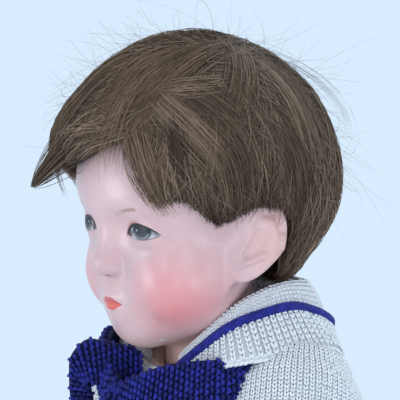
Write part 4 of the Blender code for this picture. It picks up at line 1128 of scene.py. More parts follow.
def flyaway_paths(count):
    """Single hairs that leave the upper part of the wig and curl."""
    roots = random_roots(6 * count)
    side, down = around(roots)
    roots = roots[(down < 42) | ((np.abs(side) > 140) & (down < 70))][:count]
    start = HEAD_CORE + roots * (WIG_TOP_REACH(roots) - 0.0015)[:, None]
    leave = combing(roots) + roots * rng.uniform(0.05, 0.75, (count, 1))
    leave = unit(leave + rng.normal(0.0, 0.4, (count, 3)))
    curl = rng.normal(0.0, 1.1, (count, 3)) - 0.55 * roots
    back_again = -0.75 * curl + rng.normal(0.0, 0.5, (count, 3))
    length = rng.uniform(0.008, 0.026, (count, 1, 1))
    way = part_way[None, :, None]
    paths = start[:, None, :] + length * (leave[:, None, :] * way + curl[:, None, :] * way**2
                                          + back_again[:, None, :] * way**3)
    near = (paths < FLYAWAY_REACH).all(axis=(1, 2)) & (paths > -FLYAWAY_REACH).all(axis=(1, 2))
    return paths[near]


def bundle_paths(stations, count, root_spread, tip_spread):
    """Hairs along one curve, spread at its root and at its tip."""
    table = np.array(stations) * 0.001
    at = np.linspace(0.0, 1.0, len(table))
    spine = np.stack([np.interp(part_way, at, table[:, k]) for k in range(3)], 1)
    spread = root_spread + (tip_spread - root_spread) * part_way
    return spine[None] + rng.normal(0.0, 1.0, (count, 1, 3)) * spread[None, :, None]


def lint_paths(count):
    """Short fibres that lie across each other in one speck."""
    half = np.array(LINT_HALF) * 0.001
    ends = np.stack((-half, half))[:, None, :]
    first, last = rng.normal(np.array(LINT) * 0.001, 0.0011, (2, count, 3)) + ends
    return first[:, None, :] + (last - first)[:, None, :] * part_way[None, :, None]


lint_finish = Finish("white_lint", Roughness=0.9)
lint_tone = lint_finish.attribute("tone")
lint_finish.set("Base Color", lint_finish.mix(lint_tone, (0.62, 0.60, 0.58), (0.88, 0.87, 0.85)))
fine_taper = np.interp(part_way, (0.0, 0.2, 0.8, 1.0), (0.8, 1.0, 0.8, 0.3))
tufts = np.concatenate([tuft_paths(*tuft[:4]) for tuft in TUFTS])
tuft_tone = np.concatenate([rng.uniform(*tuft[4], (tuft[1], 1)) for tuft in TUFTS])
tuft_piece = sweep_paths("hair_tufts", tufts + HEAD_ORIGIN, fine_taper, tuft_tone, TUFT_RADIUS, hair_finish)
dress(tuft_piece, "head", "hair")
for name, paths, radius, tones, finish in (
        ("hair_strays", stray_paths(STRAYS), 0.00013, (0.25, 0.95), hair_finish),
        ("hair_flyaways", flyaway_paths(FLYAWAYS), 0.000045, (0.3, 0.9), hair_finish),
        ("hair_fringe_lock", bundle_paths(FRINGE_LOCK, 150, 0.0042, 0.0005), 0.00018, (0.1, 0.7),
         hair_finish),
        ("hair_wisp", bundle_paths(LONG_WISP, 16, 0.0014, 0.0017), 0.00006, (0.5, 0.9), hair_finish),
        ("hair_lint", lint_paths(26), 0.00020, (0.2, 1.0), lint_finish)):
    tone = rng.uniform(*tones, (len(paths), 1))
    piece = sweep_paths(name, paths + HEAD_ORIGIN, fine_taper, tone, radius, finish)
    dress(piece, "head", "hair")
    print(name, len(piece.data.polygons), "faces")

# %% [markdown]
# ## Surfaces that the cloth lies on
# The sweater hangs on a stuffed body with flat sides for the arms, so each garment is a surface over that
# body: a place is given by an angle round it and a share from one edge of the cloth to the other. The
# surfaces could be modelled by hand, but with functions the base cloth, the stitches and the cord all lie on
# the same one.

# %% Smooth curves and the body's surface
BODY_TABLE = np.array((   # height, half width, depth to the front, depth to the back
    (0.0026, 0.026, 0.034, 0.037), (0.0080, 0.031, 0.040, 0.043), (0.0300, 0.034, 0.043, 0.045),
    (0.0560, 0.034, 0.043, 0.044), (0.0680, 0.045, 0.043, 0.043), (0.1000, 0.046, 0.042, 0.041),
    (0.1350, 0.046, 0.039, 0.039), (0.1550, 0.045, 0.035, 0.036), (0.1660, 0.040, 0.033, 0.033),
    (0.1715, 0.033, 0.0305, 0.0295), (0.1745, 0.027, 0.0285, 0.0265)))
BODY_POWER = 0.8
SLOPE_FROM, NECK_TOP, NECK_SLOPE = 0.120, 0.1745, 0.45


def hermite(at, places, values):
    """Smooth curve through values at places. Values are (places, width) or (places, points, width)."""
    places, values = np.asarray(places, float), np.asarray(values, float)
    slopes = np.gradient(values, places, axis=0)
    low = np.clip(np.searchsorted(places, at) - 1, 0, len(places) - 2)
    point = (np.arange(len(at)),) if values.ndim == 3 else ()
    before, after = (low, *point), (low + 1, *point)
    span = (places[low + 1] - places[low])[:, None]
    t = np.clip((at - places[low])[:, None] / span, 0.0, 1.0)
    return ((1 + 2 * t) * (1 - t)**2 * values[before] + t * (1 - t)**2 * span * slopes[before]
            + t**2 * (3 - 2 * t) * values[after] + t**2 * (t - 1) * span * slopes[after])


def along_table(at, table):
    """Smooth curve through the rows of a table, whose first column is the place."""
    table = np.array(table, float)
    return hermite(np.asarray(at, float), table[:, 0], table[:, 1:])


def walked_length(places):
    """Length of a path up to each of its points."""
    return np.concatenate(((0.0,), np.cumsum(np.linalg.norm(np.diff(places, axis=0), axis=1))))


def body_point(angles, heights, lift):
    """Points on the stuffed body, lifted off it. Angle 0 is in front, a quarter turn is the doll's left."""
    half, front, back = (np.interp(heights, BODY_TABLE[:, 0], BODY_TABLE[:, k]) + lift for k in (1, 2, 3))
    sine, cosine = np.sin(angles), np.cos(angles)
    flat = np.interp(heights, (0.056, 0.068), (0.030, 0.042)) + lift
    x = half * np.sign(sine) * np.abs(sine)**BODY_POWER
    y = -np.where(cosine > 0, front, back) * np.sign(cosine) * np.abs(cosine)**BODY_POWER
    rise = np.clip((heights - SLOPE_FROM) / (NECK_TOP - SLOPE_FROM), 0.0, 1.0)
    return np.stack((np.clip(x, -flat, flat), y, heights + NECK_SLOPE * rise**2 * y), -1)


def soft_folds(points):
    """Slow waves from -1 to 1 over space, for cloth that never lies quite flat."""
    x, y, z = (points[..., k] for k in range(3))
    return (0.45 * np.sin(92 * x + 47 * z + 1.0) + 0.33 * np.sin(128 * y - 71 * z)
            + 0.22 * np.sin(205 * z + 63 * x - 88 * y))


def frames(surface, u, v, step=1e-3):
    """Points of a surface, the direction along v and the way out of the cloth."""
    across = surface(u + step, v) - surface(u - step, v)
    along = surface(u, v + step) - surface(u, v - step)
    return surface(u, v), unit(along), unit(np.cross(across, along))


def ring_piece(name, rings, finish, loop=False):
    """A closed piece through rings of points, with flat ends, or going round to its first ring again."""
    rings = np.asarray(rings)
    rows, columns = rings.shape[:2]
    index = np.arange(rows * columns).reshape(rows, columns)
    near, far = (index, np.roll(index, -1, 0)) if loop else (index[:-1], index[1:])
    faces = np.stack((near, np.roll(near, -1, 1), np.roll(far, -1, 1), far), -1).reshape(-1, 4).tolist()
    if not loop:
        faces += [index[0][::-1].tolist(), index[-1].tolist()]
    made = link_mesh(name, rings.reshape(-1, 3), faces, finish)
    shell = bmesh.new()
    shell.from_mesh(made.data)
    bmesh.ops.recalc_face_normals(shell, faces=shell.faces)
    shell.to_mesh(made.data)
    shell.free()
    return made


CHEST = 0.1              # height of the chest
chest_line = body_point(np.linspace(0.0, TURN, 200), CHEST, 0.0)
print("chest girth", walked_length(chest_line)[-1])

# %% [markdown]
# ## Knitting
# In stockinette each stitch shows as a V of two yarn legs, and in garter stitch as rows of interlocked bumps.
# A bump map can hint at this, but the photograph shows single stitches and their serrated edges, so every
# stitch is real: one small V and one small loop are made here, and a Geometry Nodes tree sets a copy on each
# point of a garment, turned to the cloth's normal and sized to its row.

# %% Stitch shapes
STITCH_DEPTH = 0.0024


def spindle(path, radii, sides):
    """Points and faces of a thin tube along a path, drawn to a tip at both ends."""
    path = np.asarray(path, float)
    forward = unit(np.gradient(path, axis=0))
    level = unit(np.cross(forward, (0.13, 0.21, 1.0)))
    upright = np.cross(level, forward)
    turn = (np.arange(sides) + 0.5) * TURN / sides
    rings = [path[k] + radii[k] * (np.outer(np.cos(turn), level[k]) + np.outer(np.sin(turn), upright[k]))
             for k in range(1, len(path) - 1)]
    points = np.concatenate((path[:1], *rings, path[-1:]))
    last = len(points) - 1
    faces = [(0, 1 + s, 1 + (s + 1) % sides) for s in range(sides)]
    for k in range(len(rings) - 1):
        start = 1 + k * sides
        faces += [(start + s, start + sides + s, start + sides + (s + 1) % sides, start + (s + 1) % sides)
                  for s in range(sides)]
    faces += [(last, last - sides + (s + 1) % sides, last - sides + s) for s in range(sides)]
    return points, faces


def join_shapes(shapes):
    """Points and faces of several shapes as those of one."""
    points, faces = [], []
    for part_points, part_faces in shapes:
        first = sum(len(p) for p in points)
        points.append(part_points)
        faces += [tuple(first + i for i in face) for face in part_faces]
    return np.concatenate(points), faces


def make_stitch_tree():
    """A copy of one stitch on each point, turned and sized by the point's attributes."""
    reader = "GeometryNodeInputNamedAttribute"
    tree, nodes = start_tree("stitches", {
        "shape": "GeometryNodeObjectInfo", "turn": "FunctionNodeAxesToRotation",
        "copies": "GeometryNodeInstanceOnPoints", "out": reader, "along": reader, "size": reader,
    }, Stitch="NodeSocketObject")
    for name in ("out", "along", "size"):
        read_attribute(nodes[name], name, "FLOAT_VECTOR")
    nodes["turn"].primary_axis = "Z"
    nodes["turn"].secondary_axis = "Y"
    return link_tree(tree, nodes, (
        ("start", "Geometry", "copies", "Points"), ("start", "Stitch", "shape", "Object"),
        ("shape", "Geometry", "copies", "Instance"), ("out", "Attribute", "turn", "Primary Axis"),
        ("along", "Attribute", "turn", "Secondary Axis"), ("turn", "Rotation", "copies", "Rotation"),
        ("size", "Attribute", "copies", "Scale"), ("copies", "Instances", "real", "Geometry")))


STITCH_TREE = make_stitch_tree()
bare = Finish("yarn_pattern")
yarn_leg = [(0.06, -0.72, -0.10), (0.16, -0.30, 0.16), (0.29, 0.26, 0.18), (0.36, 0.70, -0.08)]
mirrored_leg = [(-x, y, z) for x, y, z in yarn_leg]
both_legs = [spindle(path, (0, 0.22, 0.22, 0), 4) for path in (yarn_leg, mirrored_leg)]
v_stitch = link_mesh("v_stitch", *join_shapes(both_legs), bare)
arc_turn = np.radians((-105, -62, -20, 20, 62, 105))
arc = np.stack((0.45 * np.cos(arc_turn) - 0.12, 0.52 * np.sin(arc_turn), 0.42 * np.cos(arc_turn) - 0.05), 1)
loop_stitch = link_mesh("loop_stitch", *spindle(arc, (0, 0.26, 0.30, 0.30, 0.26, 0), 5), bare)


def knit(name, stitch, finish, points, out, along, size):
    """One piece with a copy of a stitch on each point, a little uneven as hand knitting is."""
    count = len(points)
    points = points + rng.normal(0.0, 0.00007, (count, 3))
    along = unit(along + np.cross(out, along) * rng.normal(0.0, 0.07, (count, 1)))
    size = size * rng.normal(1.0, 0.05, (count, 1))
    tone = rng.uniform(0.0, 1.0, count)
    made = seed_mesh(name, points, [], finish, out=out, along=along, size=size, tone=tone)
    return grow(made, STITCH_TREE, Stitch=stitch, Finish=finish.material)


def cell_sizes(surface, u, v, du, dv):
    """Width, height and depth of the stitches of a grid on a surface."""
    wide = np.linalg.norm(surface(u + du / 2, v) - surface(u - du / 2, v), axis=-1)
    high = np.linalg.norm(surface(u, v + dv / 2) - surface(u, v - dv / 2), axis=-1)
    return np.stack((wide, high, np.full(len(wide), STITCH_DEPTH)), 1)


print("stitch faces", len(v_stitch.data.polygons), len(loop_stitch.data.polygons))

# %% Yarns
def make_yarn(name, dark, light, fuzz, roughness=0.88, sheen=0.25):
    """Yarn that changes a little from stitch to stitch, with fine fibres in it."""
    yarn = Finish(name, Roughness=roughness, Specular_IOR_Level=0.30, Sheen_Weight=sheen,
                  Sheen_Roughness=0.5, Sheen_Tint=(0.80, 0.90, 1.0))
    fibre = yarn.noise(yarn.place(), 2600.0, 3.0, 0.7)
    tone = (0.45 * yarn.attribute("tone") + 0.55 * fibre).ease(0.15, 0.85)
    yarn.set("Base Color", yarn.mix(tone, dark, light))
    yarn.bump(fibre, fuzz)
    return yarn


wool = make_yarn("white_wool", (0.85, 0.87, 0.92), (0.93, 0.95, 0.995), 0.0003)
blue_wool = make_yarn("blue_wool", (0.005, 0.007, 0.095), (0.026, 0.033, 0.40), 0.0006, 0.60, 0.03)
# The base cloth under the stitches and loops gets a darker copy of each wool, as painted shade between them.
wool_painted_shade = make_yarn("white_wool_shade", (0.79, 0.81, 0.86), (0.87, 0.89, 0.94), 0.0003)
blue_wool_painted_shade = make_yarn("blue_wool_shade", (0.005, 0.007, 0.065), (0.014, 0.018, 0.150), 0.0003, 0.8, 0.03)
print("yarns ready")

# %% [markdown]
# ## Sweater
# The sweater is a knitted tube with set-in sleeves, ribbed at the hem and cuffs. Base cloth with stitches on
# it could be one mesh, but apart they stay simple: the base cloth closes the tube, and the stitches stand on
# it in level rows from the hem to the neck.

# %% Sweater body
HEM, NECK_EDGE = 0.0585, 0.1742
SWEATER_LIFT, SWEATER_INSIDE = 0.0036, 0.0016
SWEATER_COLUMNS, SWEATER_ROWS = 118, 68
RIB_ROWS = 8
SHOULDER = np.array((0.042, 0.006, 0.138))
ARMHOLE = 0.0275
BASE_DEPTH = 0.0004      # base cloth under the middle of its stitches
FOLD_HEIGHT = 0.0013
trial_heights = np.linspace(HEM, NECK_EDGE, 400)
trial_length = walked_length(body_point(np.full(400, 0.8), trial_heights, SWEATER_LIFT))


def even_angles(count, height):
    """Angles round the body whose points are evenly spaced."""
    fine = np.linspace(0.0, TURN, 721)
    length = walked_length(body_point(fine, np.full(721, height), SWEATER_LIFT))
    return np.interp((np.arange(count) + 0.5) / count * length[-1], length, fine)


def sweater_surface(angles, shares, lift=SWEATER_LIFT):
    """The sweater from its hem, at share 0, to its neck edge."""
    heights = np.interp(shares * trial_length[-1], trial_length, trial_heights)
    plain = body_point(angles, heights, lift)
    swell = FOLD_HEIGHT * soft_folds(plain) * np.clip(shares * 8.0, 0.2, 1.0)
    return body_point(angles, heights, lift + swell)


def rib_lift(columns, rows, last):
    """Two columns forward and two back over the ribbed rows."""
    return np.where(rows < last, np.where(columns % 4 < 2, 0.0004, -0.0009), 0.0)


def tube_stitches(surface, column_angles, rows, rib_rows):
    """Places, directions and sizes of the stitches of a tube that is ribbed over its first rows."""
    columns = len(column_angles)
    row, column = (a.ravel() for a in np.mgrid[0:rows, 0:columns])
    angles, shares = column_angles[column], (row + 0.5) / rows
    points, along, out = frames(surface, angles, shares)
    size = cell_sizes(surface, angles, shares, TURN / columns, 1 / rows)
    return points + out * rib_lift(column, row, rib_rows)[:, None], out, along, size


def sweater_stitches():
    column_angles = even_angles(SWEATER_COLUMNS, CHEST)
    points, out, along, size = tube_stitches(sweater_surface, column_angles, SWEATER_ROWS, RIB_ROWS)
    size[:, 0] = np.clip(size[:, 0], 0.0016, 0.0027)
    from_joint = np.hypot(points[:, 1] - SHOULDER[1], points[:, 2] - SHOULDER[2])
    shown = (np.abs(points[:, 0]) < SHOULDER[0]) | (from_joint > ARMHOLE)
    return points[shown], out[shown], along[shown], size[shown]


def base_rings(surface, outer, inner, rows, columns):
    """Rings up the outside of a tube of cloth and down its inside."""
    angles = full_turn(columns)
    shares = np.linspace(0.0, 1.0, rows)
    up = [surface(angles, np.full(columns, s), outer) for s in shares]
    down = [surface(angles, np.full(columns, s), inner) for s in shares[::-1]]
    return up + down


sweater_rings = base_rings(sweater_surface, SWEATER_LIFT - BASE_DEPTH, SWEATER_INSIDE, 60, 112)
sweater = ring_piece("sweater_base", sweater_rings, wool_painted_shade, loop=True)
dress(sweater, "torso", "wool", "sweater_body")
stitches = sweater_stitches()
in_front = stitches[0][:, 1] < 0
for name, part in (("sweater_knit_front", in_front), ("sweater_knit_back", ~in_front)):
    dress(knit(name, v_stitch, wool, *(values[part] for values in stitches)), "torso", "wool")
print("sweater stitches", len(in_front))

# %% Sleeves
ARM_SPREAD = math.radians(26)
ARM_SWING = math.radians(26)
SLEEVE_END, SLEEVE_TOP = 0.113, -0.0375
SLEEVE_COLUMNS, SLEEVE_ROWS, CUFF_ROWS = 70, 78, 8
SLEEVE_TABLE = (   # distance down the arm, half thickness, half breadth
    (-0.0375, 0.0050, 0.0060), (-0.0340, 0.0160, 0.0170), (-0.0210, 0.0270, 0.0290), (0.0000, 0.0305, 0.0325),
    (0.0360, 0.0280, 0.0290), (0.0750, 0.0236, 0.0240), (0.0930, 0.0180, 0.0184), (0.1130, 0.0150, 0.0156))
SLEEVE_SIDE = 0.0049     # the sleeve starts at the sweater's side
SLEEVE_PRESS = 0.05      # what is left of the cloth's depth beyond that side
SLEEVE_OUT, ARM_OUT = 0.0125, 0.0085     # middles of the sleeve and the arm, out from the joint
MEETING = 0.075          # how far down the arm the two middles meet
SLEEVE_INSIDE, SLEEVE_RINGS = 0.0030, 48
SLEEVE_FOLD = 0.0012
arm_down = np.array((math.sin(ARM_SPREAD), 0.0, -math.cos(ARM_SPREAD)))
arm_out = np.array((math.cos(ARM_SPREAD), 0.0, math.sin(ARM_SPREAD)))


def place_arm(local, side):
    """From the left shoulder's own frame, with the arm straight down, to the doll's arm swung forwards."""
    x, y, z = (local[..., k] for k in range(3))
    swung = np.stack((x, y * math.cos(ARM_SWING) + z * math.sin(ARM_SWING),
                      z * math.cos(ARM_SWING) - y * math.sin(ARM_SWING)), -1)
    return (swung + SHOULDER) * np.array((side, 1.0, 1.0))


def place_arm_vector(local, side):
    return place_arm(local, side) - place_arm(np.zeros(3), side)


def arm_tube(angles, down, thick, broad, out_from):
    """Points of a round limb in the shoulder's frame."""
    middle = np.interp(down, (0.0, MEETING), (out_from, ARM_OUT))[:, None] * np.array((1.0, 0.0, 0.0))
    middle = middle + down[:, None] * arm_down
    return (middle + (thick * np.cos(angles))[:, None] * arm_out
            + (broad * np.sin(angles))[:, None] * np.array((0.0, 1.0, 0.0)))


def press(x, side, share):
    """Presses what lies beyond a side almost flat against it, with layers kept in their order."""
    return np.where(x < side, side + share * (x - side), x)


def sleeve_surface(angles, shares, lift=0.0):
    """A sleeve from its cuff, at share 0, to the top of the shoulder."""
    down = SLEEVE_END + (SLEEVE_TOP - SLEEVE_END) * shares
    thick, broad = along_table(down, SLEEVE_TABLE).T
    plain = arm_tube(angles, down, thick, broad, SLEEVE_OUT)
    swell = lift - SLEEVE_FOLD + SLEEVE_FOLD * soft_folds(plain + 0.1) * np.clip(shares * 8.0, 0.2, 1.0)
    full = arm_tube(angles, down, thick + swell, broad + swell, SLEEVE_OUT)
    full[:, 0] = press(full[:, 0], SLEEVE_SIDE, SLEEVE_PRESS)
    return full


def sleeve_stitches():
    column_angles = (np.arange(SLEEVE_COLUMNS) + 0.5) * TURN / SLEEVE_COLUMNS
    points, out, along, size = tube_stitches(sleeve_surface, column_angles, SLEEVE_ROWS, CUFF_ROWS)
    shown = (points[:, 0] > SLEEVE_SIDE + BASE_DEPTH) & (size[:, 0] > 0.0008)
    size[:, 0] = np.clip(size[:, 0], 0.0014, 0.0028)
    return points[shown], out[shown], along[shown], size[shown]


SIDES = {"left": 1, "right": -1}
points, out, along, size = sleeve_stitches()
sleeve_rings = np.array(base_rings(sleeve_surface, -BASE_DEPTH, -SLEEVE_INSIDE, SLEEVE_RINGS, 64))
inside_first = np.concatenate((sleeve_rings[SLEEVE_RINGS + 3:], sleeve_rings[:SLEEVE_RINGS]))
for label, side in SIDES.items():
    base = ring_piece(f"{label}_sleeve_base", place_arm(inside_first, side), wool_painted_shade)
    dress(base, f"{label}_arm", "wool", f"{label}_sleeve")
    sleeve_knit = knit(f"{label}_sleeve_knit", v_stitch, wool, place_arm(points, side),
                       place_arm_vector(out, side), place_arm_vector(along, side), size)
    dress(sleeve_knit, f"{label}_arm", "wool")
    print(label, "sleeve stitches", len(points))

# %% [markdown]
# ## Collar
# A broad knitted collar stands up round the neck, folds over and falls onto the shoulders, deeper behind as
# on a sailor's blouse. A blue twisted cord is worked into it, ribs run from the cord to the rolled edge, and
# the front corners go under the neckerchief. A flat pattern could be draped, but the photograph shows where
# the cloth ended up, so four rings of places carry the surface. At the back they are guesses.

# %% Collar cloth
COLLAR_FRONT = 30.0      # degrees from the front where the collar opens
COLLAR_EDGE = (          # degrees from the front, distance from the neck's axis, height
    (30, 0.0400, 0.1545), (45, 0.0425, 0.1605), (54, 0.0445, 0.1640), (64, 0.0515, 0.1672),
    (85, 0.0545, 0.1700), (105, 0.0558, 0.1725), (125, 0.0585, 0.1685), (145, 0.0580, 0.1570),
    (162, 0.0555, 0.1490), (180, 0.0540, 0.1460))
COLLAR_STRIPE = (
    (30, 0.0360, 0.1610), (45, 0.0370, 0.1695), (70, 0.0415, 0.1830), (90, 0.0435, 0.1880),
    (105, 0.0450, 0.1890), (120, 0.0480, 0.1855), (140, 0.0515, 0.1785), (160, 0.0515, 0.1715),
    (180, 0.0505, 0.1690))
COLLAR_FOLD = (
    (30, 0.0330, 0.1665), (45, 0.0345, 0.1745), (70, 0.0370, 0.1885), (90, 0.0380, 0.1950),
    (105, 0.0385, 0.1968), (120, 0.0390, 0.1970), (150, 0.0400, 0.1955), (180, 0.0400, 0.1950))
COLLAR_STAND = (
    (30, 0.0310, 0.1600), (45, 0.0310, 0.1650), (70, 0.0315, 0.1740), (90, 0.0320, 0.1790),
    (120, 0.0325, 0.1800), (180, 0.0325, 0.1790))
STRIPE_PLACE = 0.45      # share of the way from the edge to the foot
COLLAR_PLACES = (0.0, STRIPE_PLACE, 0.80, 1.0)
COLLAR_HALF = 0.0014     # half the thickness of the cloth


def ring_place(angles, table):
    """Places round the neck from a table of distances and heights, the same on both sides."""
    away, height = along_table(np.degrees(np.abs(angles)), table).T
    return np.stack((away * np.sin(angles), -away * np.cos(angles), height), -1)


def collar_surface(angles, shares):
    """The collar from its outer edge, at share 0, over the fold to its foot inside."""
    turned = (angles + math.pi) % TURN - math.pi
    rings = [ring_place(turned, table) for table in (COLLAR_EDGE, COLLAR_STRIPE, COLLAR_FOLD, COLLAR_STAND)]
    return hermite(shares, COLLAR_PLACES, rings)


def collar_angles(count):
    """Angles from one front corner of the collar round the back to the other."""
    return np.radians(np.linspace(COLLAR_FRONT, 360.0 - COLLAR_FRONT, count))


def cloth_sections(surface, places, rows, half):
    """Cross sections of a strip of cloth at places along it, out on one side and back on the other."""
    for place in places:
        points, _, out = frames(surface, np.full(rows, place), np.linspace(0.0, 1.0, rows))
        yield np.concatenate((points + out * half, (points - out * half)[::-1]))


def collar_columns(pitch, share):
    """Angles round the collar, evenly spaced at a share of the way up."""
    fine = collar_angles(900)
    length = walked_length(collar_surface(fine, np.full(900, share)))
    return np.interp((np.arange(int(length[-1] / pitch)) + 0.5) * pitch, length, fine)


def collar_stitches(pitch, shares, lift, narrow):
    """Columns of V stitches over part of the collar. Narrow columns leave grooves between them."""
    angles, share = (a.ravel() for a in np.meshgrid(collar_columns(pitch, shares.mean()), shares))
    points, along, out = frames(collar_surface, angles, share)
    size = cell_sizes(collar_surface, angles, share, 0.02, shares[1] - shares[0])
    size[:, 0] = pitch * narrow
    return points + out * lift, out, along, size


collar_sections = list(cloth_sections(collar_surface, collar_angles(150), 26, COLLAR_HALF))
collar = ring_piece("collar_base", collar_sections, wool_painted_shade)
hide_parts("sweater_collar")
plain_part = collar_stitches(0.0023, np.arange(0.49, 1.0, 0.042), COLLAR_HALF, 1.0)
rib_part = collar_stitches(0.0034, np.arange(0.05, 0.43, 0.058), COLLAR_HALF + 0.0007, 0.90)
rolled_angles = collar_columns(0.0021, 0.0)
rolled, inwards, rolled_out = frames(collar_surface, rolled_angles, np.full(len(rolled_angles), 0.012))
rolled_size = np.tile((0.0042, 0.0026, 0.0036), (len(rolled), 1))
rolled_part = (rolled + rolled_out * 0.0006, rolled_out, np.cross(rolled_out, inwards), rolled_size)
collar_pieces = [collar]
for name, part in (("collar_knit", plain_part), ("collar_ribs", rib_part), ("collar_edge", rolled_part)):
    collar_pieces.append(knit(name, v_stitch, wool, *part))
print("collar stitches", [len(p.data.polygons) for p in collar_pieces[1:]])

# %% Cord round the collar
CORD_TWIST = 0.0046      # length of one turn of the twist
CORD_STRANDS = 3
CORD_RADIUS = 0.00130
CORD_LIFT = 0.0010


def twisted_cord(name, middle, out, finish):
    """Strands wound round a path, as one piece."""
    forward = unit(np.gradient(middle, axis=0))
    level = np.cross(out, forward)
    turns = walked_length(middle) / CORD_TWIST * TURN
    strands = []
    for start in full_turn(CORD_STRANDS):
        aside = np.cos(turns + start)[:, None] * out + np.sin(turns + start)[:, None] * level
        strands.append(middle + 0.9 * CORD_RADIUS * aside)
    tone = rng.uniform(0.3, 0.9, (CORD_STRANDS, len(middle)))
    return sweep_paths(name, np.array(strands), 1.0, tone, CORD_RADIUS, finish, sides=6)


cord_middle, _, cord_out = frames(collar_surface, collar_angles(520), np.full(520, STRIPE_PLACE))
braid = twisted_cord("collar_cord", cord_middle + cord_out * (COLLAR_HALF + CORD_LIFT), cord_out, blue_wool)
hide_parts("collar_braid")
for piece in (*collar_pieces, braid):
    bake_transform(piece)
print("cord faces", len(braid.data.polygons))

# %% [markdown]
# ## Neckerchief
# A strip in garter stitch lies round the neck under the collar, dips to the chest and is tied there. One end
# rises in a loop under the chin, folds over and hangs down at the doll's right. The other hangs by the
# middle. A cloth simulation would not find this knot again, so each strip is a closed ribbon along chosen
# points, and ridges of interlocked loops stand on it, on both sides where both show.

# %% Strips of garter stitch
RIDGE = 0.0048           # from one ridge to the next
LOOP = 0.0028            # from one loop to the next along a ridge
LOOP_SIZE = (RIDGE * 0.66, LOOP * 0.84, 0.0042)
STRIP_HALF = 0.0011


def strip_piece(name, surface, columns, rows, loop):
    """A closed ribbon on a surface whose u goes along the strip and v across it."""
    places = np.linspace(0.0, 1.0, columns, endpoint=not loop)
    return ring_piece(name, list(cloth_sections(surface, places, rows, STRIP_HALF)), blue_wool_painted_shade, loop)


def garter(name, surface, both_sides):
    """Ridges of two rows of loops across a strip, each loop between two of the next row."""
    fine = np.linspace(0.0, 1.0, 600)
    length = walked_length(surface(fine, np.full(600, 0.5)))
    half = 0.25 * RIDGE / length[-1]
    grid = []
    for u in np.interp(np.arange(RIDGE / 2, length[-1], RIDGE), length, fine):
        low, high = surface(np.array((u, u)), np.array((0.0, 1.0)))
        count = max(2, round(np.linalg.norm(high - low) / LOOP))
        grid += [(u - half, (k + 0.25) / count) for k in range(count)]
        grid += [(u + half, (k + 0.75) / count) for k in range(count)]
    u, v = np.array(grid).T
    points, along, out = frames(surface, np.clip(u, 0.001, 0.999), np.clip(v, 0.03, 0.97))
    faces = [(points + out * STRIP_HALF, out)]
    if both_sides:
        faces.append((points - out * STRIP_HALF, -out))
    points, out = (np.concatenate(part) for part in zip(*faces))
    along = np.tile(along, (len(faces), 1))
    return knit(name, loop_stitch, blue_wool, points, out, along, np.tile(LOOP_SIZE, (len(points), 1)))


print("ridge", RIDGE, "loop", LOOP)

# %% Band round the neck and its two ends
BAND_LOW = (             # degrees from the front, distance from the neck's axis, height
    (0, 0.0500, 0.1300), (22, 0.0515, 0.1325), (45, 0.0540, 0.1390), (62, 0.0545, 0.1480),
    (80, 0.0470, 0.1620), (100, 0.0460, 0.1670), (140, 0.0500, 0.1600), (180, 0.0465, 0.1560))
BAND_MIDDLE = (
    (0, 0.0525, 0.1430), (22, 0.0525, 0.1475), (45, 0.0520, 0.1540), (62, 0.0515, 0.1600),
    (80, 0.0465, 0.1665), (100, 0.0455, 0.1705), (140, 0.0490, 0.1650), (180, 0.0455, 0.1615))
BAND_HIGH = (
    (0, 0.0505, 0.1550), (22, 0.0490, 0.1635), (40, 0.0486, 0.1680), (54, 0.0484, 0.1690),
    (68, 0.0466, 0.1690), (80, 0.0450, 0.1705), (100, 0.0445, 0.1735), (140, 0.0465, 0.1690),
    (180, 0.0440, 0.1665))
BAND_LIFT = np.array((0.019, 0.012, 0.004))     # by the loop under the chin, at the three heights


def band_surface(u, v):
    """The band, from the nape round by the doll's right, with v up from its lower edge."""
    angles = (u % 1.0) * TURN - math.pi
    rings = np.array([ring_place(angles, table) for table in (BAND_LOW, BAND_MIDDLE, BAND_HIGH)])
    lifted = np.exp(-((np.degrees(angles) + 36.0) / 22.0) ** 4)
    rings[..., 2] += BAND_LIFT[:, None] * lifted
    wave = 0.0007 * soft_folds(1.4 * rings[1])[:, None] * unit(rings[1] * np.array((1.0, 1.0, 0.0)))
    return hermite(v, (0.0, 0.5, 1.0), rings + wave)


def path_surface(stations):
    """A ribbon along stations: the middle of the strip and half its width as a vector, in millimetres."""
    table = np.array(stations, float) * 0.001
    length = walked_length(table[:, :3])
    at = length / length[-1]

    def surface(u, v):
        row = hermite(u, at, table)
        return row[:, :3] + row[:, 3:] * (2.0 * v - 1.0)[:, None]
    return surface


RIGHT_END = path_surface((
    (-5, -37, 156, 0, 0, 11), (-10, -45, 159, 0, 0, 11.5), (-15, -51, 161, -0.5, -0.5, 11),
    (-20, -56, 162, -1.5, -1.5, 10), (-24, -58.5, 159, -2.6, -2.8, 6), (-26, -57.5, 152, -3.2, -3.6, 1.5),
    (-27, -55, 138, -3.5, -4, 0), (-28, -54, 120, -3.8, -4.4, 0), (-29, -53, 100, -4.2, -4.8, 0),
    (-30, -53, 84, -4.5, -5.2, 0)))
LEFT_END = path_surface((
    (-3, -54, 146, -6, -1, 0), (2, -54.5, 136, -9, -1, 0), (5, -53, 120, -11, -1, 0),
    (7, -52, 100, -12, -1, 0), (8, -51.5, 82, -12.5, -1, 0)))
SCARF_STRIPS = {   # surface, columns, rows, is it a ring, CAD node, flat width and length
    "scarf_band_cloth": (band_surface, 150, 12, True, "scarf_band", (0.020, 0.320)),
    "scarf_right_cloth": (RIGHT_END, 64, 8, False, "scarf_right_end", (0.018, 0.118)),
    "scarf_left_cloth": (LEFT_END, 40, 8, False, "scarf_left_end", (0.021, 0.066)),
}
